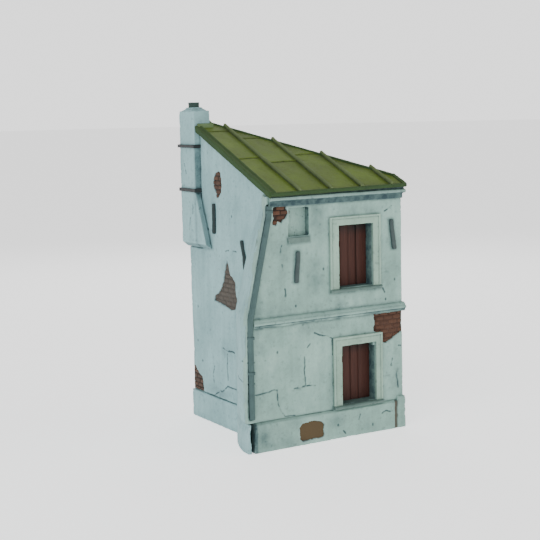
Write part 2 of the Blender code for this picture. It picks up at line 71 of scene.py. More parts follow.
NOISE_TABLE = 32  # entries of the noise table along each axis
OCTAVE_FADE = 0.55  # how much weaker each finer layer of noise is

WALL_DEPTH = 4.8

# The wing at the facade's left end: x of its edge and how far back it runs, at each height
WING_EDGE = ((0.0, -13.0), (50.9, -11.2), (89.2, -2.8), (96.0, -2.3))
WING_REACH = ((0.0, 28.8), (50.9, 28.8), (78.0, 17.0), (89.2, 9.0), (96.0, 7.0))
WING_BULGE = 0.17

# Sheet roof
ROOF_HEIGHT = 97.9
ROOF_PITCH = 0.416
ROOF_LEAN = 0.009
ROOF_BACK_SUM = 65.2
SEAM_X = (11.4, 25.47, 39.54, 53.61)
SEAM_HEIGHT = 1.35
LAPS = ((26.5, 50.5), (22.0, 43.0), (27.0,), (), ())  # y of the laps in each bay, from the left
LAP_STEP = 0.28
SHEET_TONES = (0.6, 0.1, -0.8, -0.2, 0.2, -0.7, 0.3, -0.4, -0.6, 0.4, -0.2, -0.7, 0.1, -0.2, -0.8)
ROOF_LEFT, ROOF_FRONT = -1.8, -2.5  # the verges' x at the left, and y of their front ends
EAVE_Y = -2.2
EAVE_ENDS = (-1.9, 60.2)
REAR_EDGE_START = 60.4  # x of the rear strip's right end

# Lost render, as outlines on the wall's face, and the deepest that it is broken away
PATCH_DEPTH = 0.75
FACADE_PATCHES = {
    "brick_patch_facade_corner": (
        (0.6, 85.4), (1.7, 85.1), (2.4, 86.6), (3.6, 86.2), (4.3, 85.5), (5.0, 86.9), (6.3, 87.2),
        (6.9, 89.2), (6.6, 92.2), (0.6, 92.2)),
    "brick_patch_facade_right": (
        (45.9, 46.9), (46.0, 43.8), (45.7, 40.3), (47.2, 39.6), (48.6, 39.2), (49.0, 37.2), (49.6, 35.5),
        (51.6, 35.3), (53.8, 35.9), (55.4, 36.9), (57.2, 38.1), (59.9, 38.9), (59.9, 47.2)),
}
GABLE_PATCHES = {
    "brick_patch_gable_top": (
        (40.9, 103.9), (39.0, 103.0), (38.2, 100.9), (38.0, 97.7), (38.9, 95.2), (40.8, 93.0),
        (42.4, 93.3), (43.2, 95.6), (44.6, 97.9), (44.9, 100.4), (43.6, 102.4)),
    "brick_patch_gable_middle": (
        (35.4, 68.8), (34.0, 66.0), (33.2, 62.9), (30.8, 62.0), (29.2, 60.6), (28.6, 56.5), (27.6, 51.6),
        (30.0, 49.6), (32.6, 48.9), (36.4, 49.7), (40.6, 50.6), (46.6, 51.3), (46.2, 53.7), (42.9, 55.0),
        (40.6, 57.3), (39.0, 60.0), (37.6, 63.4), (36.7, 66.6)),
    "brick_patch_gable_foot": (
        (67.5, 20.8), (64.8, 21.8), (63.5, 19.9), (61.2, 18.5), (59.2, 17.8), (58.3, 15.0), (57.8, 11.0),
        (67.5, 11.0)),
}
VENT_OUTLINE = ((10.0, 2.2), (9.9, 7.0), (10.9, 8.4), (15.6, 8.9), (20.2, 8.0), (21.0, 7.0), (21.1, 2.6),
                (20.4, 1.7), (11.0, 1.5))
# Boxes that fill the frame's own square pockets before the ragged ones are cut: u, v ranges
FACADE_PLUGS = ((0.3, 7.4, 85.2, 92.6), (45.2, 59.3, 34.8, 47.6))
GABLE_PLUGS = ((37.4, 45.4, 92.8, 104.4), (28.5, 47.2, 48.4, 69.3), (57.2, 66.4, 11.6, 24.0))

# Cracks and open joints, as lines on the wall's face
FACADE_CRACKS = (
    ((13.2, 34.2), (13.4, 30.8), (13.1, 28.6), (13.3, 25.9), (13.2, 22.6)),
    ((-8.8, 22.2), (-4.2, 22.6), (0.9, 22.8)),
    ((8.4, 22.2), (13.2, 22.6), (17.9, 22.4)),
    ((0.5, 22.8), (0.6, 19.6), (1.1, 16.9), (2.5, 13.9), (4.0, 12.3), (8.6, 11.9)),
    ((18.0, 42.8), (20.4, 41.8), (23.8, 40.9), (26.2, 39.4), (26.2, 33.4)),
    ((16.0, 38.9), (14.5, 37.4)),
    ((26.4, 27.4), (26.3, 21.0)),
    ((54.4, 28.2), (53.9, 25.5)),
    ((56.4, 22.9), (56.8, 19.4), (56.9, 16.0)),
    ((57.6, 33.4), (59.2, 33.0)),
    ((4.0, 77.5), (3.7, 75.0)),
    ((4.0, 70.2), (4.4, 68.1)),
    ((5.1, 61.0), (5.4, 58.3)),
    ((51.3, 87.3), (52.9, 87.8), (54.7, 89.1)),
    ((50.3, 57.0), (51.0, 55.4)),
    ((-12.6, 34.6), (-9.0, 34.4)),
    ((-12.6, 26.6), (-9.2, 26.7)),
)
GABLE_CRACKS = (
    ((40.6, 32.6), (36.2, 32.2), (31.2, 32.2)),
    ((37.1, 30.8), (37.3, 25.5), (36.9, 20.0)),
    ((50.2, 10.8), (47.0, 12.4), (43.8, 14.8), (41.4, 14.6), (37.2, 17.3), (30.4, 17.5)),
    ((36.0, 72.3), (33.6, 72.8)), ((30.0, 72.9), (27.6, 72.7)),
    ((48.0, 24.0), (49.4, 20.5), (49.0, 17.2)),
)
# The rear wall's marks are placed from its left end, and this is where its middle lies
REAR_MIDDLE = 36.0
REAR_CRACKS = (
    ((12.0, 70.0), (14.5, 62.0), (13.0, 55.0), (16.0, 47.0)),
    ((38.0, 40.0), (44.0, 39.0), (47.0, 33.0), (52.0, 32.0)),
    ((24.0, 22.0), (27.0, 28.0), (33.0, 29.5)),
)
PLINTH_CRACKS = (((48.6, 7.0), (50.8, 7.8), (52.4, 7.2)), ((37.9, 8.4), (37.4, 6.2)),
                 ((30.0, 3.0), (31.2, 1.6)))
WING_CRACKS = (((0.0, 34.5), (7.0, 34.3)), ((0.0, 26.6), (6.0, 26.4), (13.0, 27.2)))
CHIMNEY_CRACKS = (((60.0, 84.0), (61.4, 79.0)), ((57.0, 91.0), (58.0, 86.0)), ((64.0, 106.0), (63.0, 102.0)))
PLINTH_PITS = ((44.0, 3.2), (27.5, 5.4))
FACADE_PITS = ((1.2, 37.2), (5.3, 58.4), (9.8, 54.0), (22.5, 67.0), (51.5, 52.5), (56.0, 60.0), (30.0, 14.0))
GABLE_PITS = ((61.0, 47.1), (61.9, 32.7), (58.2, 24.6), (50.0, 80.0), (30.5, 86.5), (12.0, 60.0))

# Soft grey stains: u, v, half width, half height, strength. The long one at u -7, along the downpipe, is
# painted shade.
FACADE_STAINS = (
    (19.5, 88.0, 4.5, 6.0, 0.30), (19.0, 67.0, 3.0, 13.0, 0.26), (26.0, 53.5, 6.0, 3.0, 0.34),
    (3.0, 52.6, 9.0, 1.8, 0.30), (40.0, 52.0, 16.0, 1.5, 0.24), (-7.0, 44.0, 2.6, 20.0, 0.26),
    (56.5, 19.0, 4.0, 10.0, 0.10), (4.5, 74.0, 3.0, 10.0, 0.14), (17.0, 44.5, 9.0, 2.2, 0.26),
    (54.5, 20.0, 4.0, 9.0, 0.22), (12.0, 90.4, 7.0, 2.4, 0.36), (24.5, 20.0, 2.2, 8.0, 0.12),
    (9.5, 28.0, 2.8, 8.0, 0.10), (-2.0, 14.5, 6.0, 2.2, 0.18), (38.0, 88.5, 12.0, 1.6, 0.14),
)
GABLE_STAINS = (
    (37.0, 32.0, 9.0, 3.0, 0.16), (45.0, 14.0, 14.0, 2.4, 0.26), (52.0, 70.0, 6.0, 3.0, 0.22),
    (33.0, 84.0, 3.0, 6.0, 0.08), (12.0, 40.0, 4.0, 16.0, 0.08), (57.0, 38.0, 5.0, 10.0, 0.08),
)
PLINTH_STAINS = (
    (-4.6, 5.0, 5.0, 3.4, 0.26), (28.0, 7.0, 4.0, 3.0, 0.22), (2.0, 2.0, 12.0, 1.6, 0.2),
    (45.0, 2.0, 12.0, 1.6, 0.14), (55.4, 11.0, 2.0, 1.6, 0.5),
)
WING_STAINS = ((2.0, 34.0, 3.0, 14.0, 0.10), (27.0, 20.0, 2.0, 20.0, 0.10))
REAR_STAINS = ((20.0, 84.0, 14.0, 5.0, 0.26), (45.0, 60.0, 6.0, 16.0, 0.20), (25.0, 14.0, 22.0, 3.0, 0.30))

BRICK_SIZE = (4.2, 1.8)  # brick length and course height, with their joints
BRICK_BURIED = 1.1  # how far the brickwork runs on behind the render
BED_FRONT, BED_BACK = 0.52, 1.5  # depth of the mortar bed behind the wall's face
MORTAR_TONE = -0.5  # a stored tone below this is mortar
# How grey with dust each patch of brick is, from 0 to 1
BRICK_DUST = {"brick_patch_facade_corner": 0.05, "brick_patch_facade_right": 0.06,
              "brick_patch_gable_top": 0.25, "brick_patch_gable_middle": 0.75,
              "brick_patch_gable_foot": 0.35}
# How far the bricks stand out of their mortar: most of them, and the smoother patches
BRICKS_PROUD = 0.34
SMOOTH_PATCHES = {"brick_patch_facade_right": 0.1, "brick_patch_gable_middle": 0.14}

# Windows as left, right, bottom and top, and x of the joints between their boards
UPPER_WINDOW = (29.4, 45.5, 58.8, 83.1)
LOWER_WINDOW = (30.1, 46.4, 12.9, 36.2)
UPPER_BOARDS = (28.4, 32.9, 37.0, 41.1, 46.5)
LOWER_BOARDS = (29.1, 33.4, 37.4, 41.2, 47.4)
BLOCKED_WINDOW = (6.0, 17.2, 79.0)  # left, right and bottom of the blocked window's pocket
REVEAL_MARGIN = 0.8  # how far past an opening's edge its reveal still gets painted shade
BOARD_FACE = 4.72  # y of the boards' front
BOARD_THICKNESS = 1.0
BAND_PROUD = 0.62  # a window surround's flat band
BEAD_PROUD = 0.88  # the bead round its outer edge
BEAD_WIDTH = 0.55

PLINTH_LEFT = -10.05  # x of the front course's left end at the table
PLINTH_TOP = 11.2
BROKEN_JOINT_X = 55.6
BAR_PROUD = 0.9  # wall anchors
BAR_STEPS = 10  # points over an anchor's rounded face
STRAP_PROUD = 0.62
POT_RADIUS = 2.2
POT_BORE = 1.5

PIPE_LINE = ((-1.5, 92.4), (-1.7, 88.4), (-10.4, 51.0), (-10.65, 46.0), (-10.7, 13.2))
PIPE_Y = -0.6
PIPE_RADIUS = 1.05
COLLAR_PROUD = 0.42

# Stage: places and sizes in mm from the house's corner, and the floor in metres
CAMERA_PLACE = (-242.2, -403.6, 131.8)
HOUSE_MIDDLE = (20.0, 25.0, 60.0)
SOFTBOX_SIZE = 420.0
FLOOR_RADIUS = 6.0
FLOOR_GAP = 0.0001


def to_frame(points):
    """House millimetres to the frame's metres."""
    return np.asarray(points, float) * MM + CORNER


def to_house(points):
    """The frame's metres to house millimetres."""
    return (np.asarray(points, float) - CORNER) / MM


def house_box(node):
    """Lowest and highest corner of a CAD node, in house millimetres."""
    low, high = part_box(node)
    return to_house(low), to_house(high)


def read_table(table, values):
    """A value at each height, read from pairs of height and value."""
    return np.interp(values, [row[0] for row in table], [row[1] for row in table])


def smooth_step(values, low, high):
    """0 below low, 1 above high, and a soft rise between."""
    share = np.clip((values - low) / (high - low), 0.0, 1.0)
    return share * share * (3.0 - 2.0 * share)


def noise(points, spacing, seed, octaves=3):
    """Smooth noise between about -1 and 1 whose bumps are spacing mm apart."""
    table = np.random.default_rng(seed).uniform(-1.0, 1.0, (NOISE_TABLE,) * 3)
    total = np.zeros(len(points))
    weight = 1.0
    weights = 0.0
    for octave in range(octaves):
        scaled = points / spacing * 2.0 ** octave + 5.3 * (octave + 1)
        cell = np.floor(scaled).astype(int)
        part = scaled - cell
        part = part * part * (3.0 - 2.0 * part)
        for corner in range(8):
            step = np.array([corner & 1, corner >> 1 & 1, corner >> 2 & 1])
            x, y, z = ((cell + step) % NOISE_TABLE).T
            share = np.prod(np.where(step, part, 1.0 - part), axis=1)
            total += weight * share * table[x, y, z]
        weights += weight
        weight *= OCTAVE_FADE
    return 1.6 * total / weights


def reworked(mesh, merge=0.0, outwards=False):
    """The mesh with points closer than merge mm made one and, if asked, its faces outwards."""
    shape = bmesh.new()
    shape.from_mesh(mesh)
    if merge:
        bmesh.ops.remove_doubles(shape, verts=shape.verts, dist=merge * MM)
    if outwards:
        bmesh.ops.recalc_face_normals(shape, faces=shape.faces)
    shape.to_mesh(mesh)
    shape.free()
    return mesh


def loft(name, rings):
    """A closed solid through rings of points, in house millimetres, that match one to one."""
    size = len(rings[0])
    points = [point for ring in rings for point in ring]
    faces = [list(range(size)), list(range(len(points) - size, len(points)))]
    for first in range(0, len(points) - size, size):
        for index in range(size):
            following = (index + 1) % size
            faces.append([first + index, first + following, first + size + following, first + size + index])
    mesh = bpy.data.meshes.new(name)
    mesh.from_pydata([tuple(point) for point in to_frame(points)], [], faces)
    return reworked(mesh, outwards=True)


def box_mesh(name, x_range, y_range, z_range):
    """A plain block, used only as stock for shaping."""
    (left, right), (front, back) = x_range, y_range
    corners = ((left, front), (right, front), (right, back), (left, back))
    return loft(name, [[(x, y, z) for x, y in corners] for z in z_range])


def front_profile(name, outline, x_range):
    """A profile seen from the gable side, as (y, z), run along the facade."""
    return loft(name, [[(x, y, z) for y, z in outline] for x in x_range])


def circle(middle, radius, height, steps):
    """Points round a level circle."""
    turns = [2.0 * math.pi * step / steps for step in range(steps)]
    return [(middle[0] + radius * math.cos(turn), middle[1] + radius * math.sin(turn), height)
            for turn in turns]


def node_mesh(node):
    """A merged copy of a CAD node's mesh."""
    return reworked(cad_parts[node].data.copy(), merge=0.01)


def applied(holder):
    """The holder's mesh with its modifiers worked in. The holder is removed."""
    bpy.context.view_layer.update()
    graph = bpy.context.evaluated_depsgraph_get()
    mesh = bpy.data.meshes.new_from_object(holder.evaluated_get(graph))
    bpy.data.objects.remove(holder)
    return mesh


def linked(name, data):
    """A new object in the scene."""
    made = bpy.data.objects.new(name, data)
    bpy.context.scene.collection.objects.link(made)
    return made


def even_surface(parts, cell):
    """One even surface of small squares round the parts, all melted into one."""
    joined = bmesh.new()
    for part in parts:
        joined.from_mesh(part)
        bpy.data.meshes.remove(part)
    mesh = bpy.data.meshes.new("stock")
    joined.to_mesh(mesh)
    joined.free()
    holder = linked("stock", mesh)
    remesh = holder.modifiers.new("Even surface", "REMESH")
    remesh.mode = "VOXEL"
    remesh.voxel_size = cell * MM * 1.0
    remesh.use_smooth_shade = True
    return applied(holder)


def thinned(mesh, share):
    """The same surface with fewer faces where it is flat."""
    if share >= 1.0:
        return mesh
    holder = linked("stock", mesh)
    decimate = holder.modifiers.new("Fewer faces", "DECIMATE")
    decimate.ratio = share
    return applied(holder)


def rows_of(items, field, width, kind=np.float32):
    """One field of a mesh's vertices, edges or stored values, a row for each."""
    rows = np.empty(len(items) * width, kind)
    items.foreach_get(field, rows)
    return rows.reshape(-1, width)


def points_of(mesh):
    """Vertex places in house millimetres."""
    return to_house(rows_of(mesh.vertices, "co", 3))


def normals_of(mesh):
    """Vertex normals."""
    return rows_of(mesh.vertices, "normal", 3).astype(float)


def tones_of(mesh):
    """The stored tone of each vertex."""
    return rows_of(mesh.attributes["tone"].data, "value", 1)[:, 0]


def move_points(mesh, points):
    """Put the vertices at these house millimetres."""
    mesh.vertices.foreach_set("co", to_frame(points).astype(np.float32).ravel())
    mesh.update()


def edges_of(mesh):
    """Pairs of joined vertices."""
    return rows_of(mesh.edges, "vertices", 2, np.int32)


def neighbour_mean(values, pairs):
    """The mean of each vertex's neighbours."""
    size = len(values)
    first, second = pairs.T
    total = np.bincount(first, values[second], size) + np.bincount(second, values[first], size)
    count = np.bincount(first, minlength=size) + np.bincount(second, minlength=size)
    return total / np.maximum(count, 1)


def spread(values, pairs, rounds):
    """Values blurred over the surface."""
    for _ in range(rounds):
        values = 0.5 * values + 0.5 * neighbour_mean(values, pairs)
    return values


def hollowness(points, normals, pairs, cell):
    """Above 0 in hollows and below 0 on outer edges."""
    means = np.stack([neighbour_mean(points[:, axis], pairs) for axis in range(3)], axis=1)
    return np.sum((means - points) * normals, axis=1) / cell


def line_distance(uv, line):
    """Distance from points on a wall's face to a line of points."""
    nearest = np.full(len(uv), 1e9)
    for start, end in zip(line, line[1:]):
        start, run = np.array(start), np.array(end) - np.array(start)
        share = np.clip((uv - start) @ run / (run @ run), 0.0, 1.0)
        nearest = np.minimum(nearest, np.linalg.norm(uv - start - share[:, None] * run, axis=1))
    return nearest


def outline_depth(uv, outline):
    """How far inside an outline points are, in mm, and below 0 outside it."""
    closed = list(outline) + [outline[0]]
    distance = line_distance(uv, closed)
    inside = np.zeros(len(uv), bool)
    for (u0, v0), (u1, v1) in zip(closed, closed[1:]):
        crosses = (v0 > uv[:, 1]) != (v1 > uv[:, 1])
        with np.errstate(divide="ignore", invalid="ignore"):
            at = u0 + (uv[:, 1] - v0) * (u1 - u0) / (v1 - v0)
        inside ^= crosses & (uv[:, 0] < at)
    return np.where(inside, distance, -distance)


def closeness(points, nodes, reach):
    """1 where a surface touches one of the CAD nodes, falling to 0 at the reach in mm."""
    corners, faces = [], []
    for node in nodes:
        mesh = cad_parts[node].data
        first = len(corners)
        corners += [vertex.co.copy() for vertex in mesh.vertices]
        faces += [[first + index for index in face.vertices] for face in mesh.polygons]
    tree = BVHTree.FromPolygons(corners, faces)
    result = np.zeros(len(points))
    for index, place in enumerate(to_frame(points).tolist()):
        distance = tree.find_nearest(place, reach * MM)[3]
        if distance is not None:
            result[index] = 1.0 - distance / (reach * MM)
    return result


def store(mesh, name, values):
    """Keep a number per vertex for the finish to read."""
    attribute = mesh.attributes.get(name) or mesh.attributes.new(name, "FLOAT", "POINT")
    attribute.data.foreach_set("value", values.astype(np.float32))


def store_level(mesh, name, value):
    """Keep the same number for every vertex."""
    store(mesh, name, np.full(len(mesh.vertices), value))


def finish_piece(name, mesh, finish, body, nodes=()):
    """Make the piece, put its finish on, tie it to its body and hide the CAD nodes that it stands for."""
    mesh.materials.clear()
    mesh.materials.append(finish)
    mesh.shade_smooth()
    mesh.name = name
    piece = linked(name, mesh)
    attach(piece, body)
    if nodes:
        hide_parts(*nodes)


def dress_node(node, finish):
    """Put a finish on a CAD node that keeps its own shape."""
    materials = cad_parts[node].data.materials
    materials.clear()
    materials.append(finish)


def weathered(mesh, cell, seed, waves=0.10, grain=0.025, chips=0.30, carve=None, near=(), near_reach=1.0,
              contact_wash_and_shade=0.7, hollow_wash_and_shade=1.0, keep=1.0):
    """Give a surface soft waves, grain, chipped edges and its own marks, and note where the wash and the
    painted shade lie.

    carve takes the points and normals, and returns moves in mm, wash with any painted shade, and bareness for
    each vertex.
    """
    points, normals, pairs = points_of(mesh), normals_of(mesh), edges_of(mesh)
    cell = cell * 1.0
    wash = np.zeros(len(points))
    bare = np.zeros(len(points))
    edge = np.clip(-spread(hollowness(points, normals, pairs, cell), pairs, 3) * 5.0, 0.0, 1.0)
    chipped = smooth_step(noise(points, 2.2, seed + 2), 0.25, 0.6)
    lift = waves * noise(points, 11.0, seed) + grain * noise(points, 1.1, seed + 1)
    lift -= chips * edge * chipped
    moves = normals * lift[:, None]
    if carve:
        carved, wash, bare = carve(points, normals)
        moves += carved
    points = points + moves
    move_points(mesh, points)
    normals = normals_of(mesh)
    hollow = hollowness(points, normals, pairs, cell)
    wide = spread(hollow, pairs, 10)
    specks = smooth_step(noise(points, 1.3, seed + 6, 2), 0.62, 0.95)
    smudges = smooth_step(noise(points * (1.0, 1.0, 0.6), 7.0, seed + 7), 0.15, 0.9)
    wash = wash + 0.3 * specks + 0.12 * smudges
    # Hollows get the dark wash and, with it, painted shade
    wash = wash + hollow_wash_and_shade * (np.clip(spread(hollow, pairs, 1) * 7.0, 0.0, 0.9)
                                 + np.clip(wide * 13.0, 0.0, 0.7))
    # Where the surface meets other parts it is darkened: wash and painted shade
    if near:
        mottle = 0.75 + 0.5 * noise(points, 3.0, seed + 5)
        wash += contact_wash_and_shade * np.clip(mottle, 0.3, 1.2) * closeness(points, near, near_reach) ** 1.4
    # The wash channel holds both the dark wash and the painted shade
    store(mesh, "wash", np.clip(wash, 0.0, 1.0))
    store(mesh, "edge", np.clip(-spread(hollow, pairs, 2) * 4.0 - 0.2, 0.0, 1.0))
    store(mesh, "bare", np.clip(bare, 0.0, 1.0))
    return thinned(mesh, keep)


# ---------------------------------------------------------------- finishes


def new_finish(name):
    """An empty material, its nodes and its links."""
    finish = bpy.data.materials.new(name)
    finish.use_nodes = True
    finish.node_tree.nodes.clear()
    return finish, finish.node_tree.nodes, finish.node_tree.links


def painted_plaster(name, colours, mottle=0.7):
    """Painted render: blotches, faint runs down the wall, pigment specks, wash and painted shade in hollows,
    pale edges.
    """
    paint, shade, wash_and_shade_colour, edge_colour, bare_colour = colours
    finish, nodes, links = new_finish(name)

    tint_frame = nodes.new("NodeFrame")
    tint_frame.label = "Blotches and runs"
    wash_frame = nodes.new("NodeFrame")
    wash_frame.label = "Wash, bare spots and worn edges"
    grain_frame = nodes.new("NodeFrame")
    grain_frame.label = "Grain of the paint"

    place = nodes.new("ShaderNodeTexCoord")
    place.label = "Place on the house"
    blotches = nodes.new("ShaderNodeTexNoise")
    blotches.label = "Blotches 15 mm apart"
    blotches.inputs["Scale"].default_value = 68.0
    blotches.inputs["Detail"].default_value = 4.0
    blotches.inputs["Roughness"].default_value = 0.6
    blotch_range = nodes.new("ShaderNodeMapRange")
    blotch_range.label = "How strong the blotches are"
    blotch_range.inputs["From Min"].default_value = 0.36
    blotch_range.inputs["From Max"].default_value = 0.68
    blotch_range.inputs["To Max"].default_value = mottle
    tint = nodes.new("ShaderNodeMix")
    tint.label = "Paint and its darker tint"
    tint.data_type = "RGBA"
    tint.inputs["A"].default_value = (*paint, 1.0)
    tint.inputs["B"].default_value = (*shade, 1.0)
    upright = nodes.new("ShaderNodeMapping")
    upright.label = "Stretched down the wall"
    upright.inputs["Scale"].default_value = (430.0, 430.0, 46.0)
    runs = nodes.new("ShaderNodeTexNoise")
    runs.label = "Brush marks and runs"
    runs.inputs["Scale"].default_value = 1.0
    runs.inputs["Detail"].default_value = 3.0
    run_range = nodes.new("ShaderNodeMapRange")
    run_range.label = "Runs only lightly darker"
    run_range.inputs["From Min"].default_value = 0.3
    run_range.inputs["From Max"].default_value = 0.7
    run_range.inputs["To Min"].default_value = 0.93
    run_range.inputs["To Max"].default_value = 1.06
    streaked = nodes.new("ShaderNodeVectorMath")
    streaked.label = "Paint with runs"
    streaked.operation = "SCALE"

    # The wash channel holds the dark wash and the painted shade in hollows, reveals, gaps and under ledges
    wash_and_shade_amount = nodes.new("ShaderNodeAttribute")
    wash_and_shade_amount.label = "Where the wash settled"
    wash_and_shade_amount.attribute_name = "wash"
    pooling = nodes.new("ShaderNodeTexNoise")
    pooling.label = "Uneven pooling"
    pooling.inputs["Scale"].default_value = 420.0
    pooling.inputs["Detail"].default_value = 3.0
    pooling_range = nodes.new("ShaderNodeMapRange")
    pooling_range.label = "Thin to thick wash"
    pooling_range.inputs["From Min"].default_value = 0.3
    pooling_range.inputs["From Max"].default_value = 0.7
    pooling_range.inputs["To Min"].default_value = 0.76
    pooling_range.inputs["To Max"].default_value = 1.045
    wash_share = nodes.new("ShaderNodeMath")
    wash_share.label = "Wash"
    wash_share.operation = "MULTIPLY"
    wash_share.use_clamp = True
    washed = nodes.new("ShaderNodeMix")
    washed.label = "Paint under the wash"
    washed.data_type = "RGBA"
    washed.inputs["B"].default_value = (*wash_and_shade_colour, 1.0)
    edge_amount = nodes.new("ShaderNodeAttribute")
    edge_amount.label = "Outer edges"
    edge_amount.attribute_name = "edge"
    edge_share = nodes.new("ShaderNodeMath")
    edge_share.label = "Light dry brushing"
    edge_share.operation = "MULTIPLY"
    edge_share.inputs[1].default_value = 0.4
    brushed = nodes.new("ShaderNodeMix")
    brushed.label = "Pale edges"
    brushed.data_type = "RGBA"
    brushed.inputs["B"].default_value = (*edge_colour, 1.0)
    bare_amount = nodes.new("ShaderNodeAttribute")
    bare_amount.label = "Where the render is gone"
    bare_amount.attribute_name = "bare"
    bared = nodes.new("ShaderNodeMix")
    bared.label = "Brown under the render"
    bared.data_type = "RGBA"
    bared.inputs["B"].default_value = (*bare_colour, 1.0)

    specks = nodes.new("ShaderNodeTexNoise")
    specks.label = "Specks 0.4 mm apart"
    specks.inputs["Scale"].default_value = 2600.0
    specks.inputs["Detail"].default_value = 2.0
    speck_range = nodes.new("ShaderNodeMapRange")
    speck_range.label = "Faint specks"
    speck_range.inputs["From Min"].default_value = 0.3
    speck_range.inputs["From Max"].default_value = 0.7
    speck_range.inputs["To Min"].default_value = 0.95
    speck_range.inputs["To Max"].default_value = 1.04
    speckled = nodes.new("ShaderNodeVectorMath")
    speckled.label = "Paint with specks"
    speckled.operation = "SCALE"
    matt = nodes.new("ShaderNodeMapRange")
    matt.label = "Matt, with duller specks"
    matt.inputs["To Min"].default_value = 0.68
    matt.inputs["To Max"].default_value = 0.9
    relief = nodes.new("ShaderNodeBump")
    relief.label = "Fine grain"
    relief.inputs["Strength"].default_value = 0.35
    relief.inputs["Distance"].default_value = 0.00006
    shader = nodes.new("ShaderNodeBsdfPrincipled")
    shader.label = "Painted render"
    shader.inputs["Specular IOR Level"].default_value = 0.3
    output = nodes.new("ShaderNodeOutputMaterial")
    output.label = "Surface"

    for node, x, y in (
            (place, -1900, 0), (blotches, -1650, 320), (blotch_range, -1450, 320), (tint, -1230, 320),
            (upright, -1650, 20), (runs, -1450, 20), (run_range, -1230, 20), (streaked, -1000, 250),
            (wash_and_shade_amount, -1230, -300), (pooling, -1450, -480), (pooling_range, -1230, -480),
            (wash_share, -1000, -350), (washed, -780, 150), (edge_amount, -1000, -560),
            (edge_share, -780, -400), (brushed, -560, 150), (bare_amount, -560, -420),
            (bared, -340, 150), (specks, -780, -760), (speck_range, -560, -760), (speckled, -120, 100),
            (matt, -120, -300), (relief, -120, -560), (shader, 120, 50), (output, 420, 50)):
        node.location = (x, y)
    for group, members in (
            (tint_frame, (blotches, blotch_range, tint, upright, runs, run_range, streaked)),
            (wash_frame, (wash_and_shade_amount, pooling, pooling_range, wash_share, washed, edge_amount, edge_share,
                          brushed, bare_amount, bared)),
            (grain_frame, (specks, speck_range, speckled, matt, relief))):
        for node in members:
            node.parent = group

    links.new(place.outputs["Object"], blotches.inputs["Vector"])
    links.new(blotches.outputs["Fac"], blotch_range.inputs["Value"])
    links.new(blotch_range.outputs["Result"], tint.inputs["Factor"])
    links.new(place.outputs["Object"], upright.inputs["Vector"])
    links.new(upright.outputs["Vector"], runs.inputs["Vector"])
    links.new(runs.outputs["Fac"], run_range.inputs["Value"])
    links.new(tint.outputs["Result"], streaked.inputs[0])
    links.new(run_range.outputs["Result"], streaked.inputs["Scale"])
    links.new(place.outputs["Object"], pooling.inputs["Vector"])
    links.new(pooling.outputs["Fac"], pooling_range.inputs["Value"])
    links.new(wash_and_shade_amount.outputs["Fac"], wash_share.inputs[0])
    links.new(pooling_range.outputs["Result"], wash_share.inputs[1])
    links.new(streaked.outputs["Vector"], washed.inputs["A"])
    links.new(wash_share.outputs["Value"], washed.inputs["Factor"])
    links.new(edge_amount.outputs["Fac"], edge_share.inputs[0])
    links.new(washed.outputs["Result"], brushed.inputs["A"])
    links.new(edge_share.outputs["Value"], brushed.inputs["Factor"])
    links.new(brushed.outputs["Result"], bared.inputs["A"])
    links.new(bare_amount.outputs["Fac"], bared.inputs["Factor"])
    links.new(place.outputs["Object"], specks.inputs["Vector"])
    links.new(specks.outputs["Fac"], speck_range.inputs["Value"])
    links.new(bared.outputs["Result"], speckled.inputs[0])
    links.new(speck_range.outputs["Result"], speckled.inputs["Scale"])
    links.new(speckled.outputs["Vector"], shader.inputs["Base Color"])
    links.new(specks.outputs["Fac"], matt.inputs["Value"])
    links.new(matt.outputs["Result"], shader.inputs["Roughness"])
    links.new(specks.outputs["Fac"], relief.inputs["Height"])
    links.new(relief.outputs["Normal"], shader.inputs["Normal"])
    links.new(shader.outputs["BSDF"], output.inputs["Surface"])
    return finish


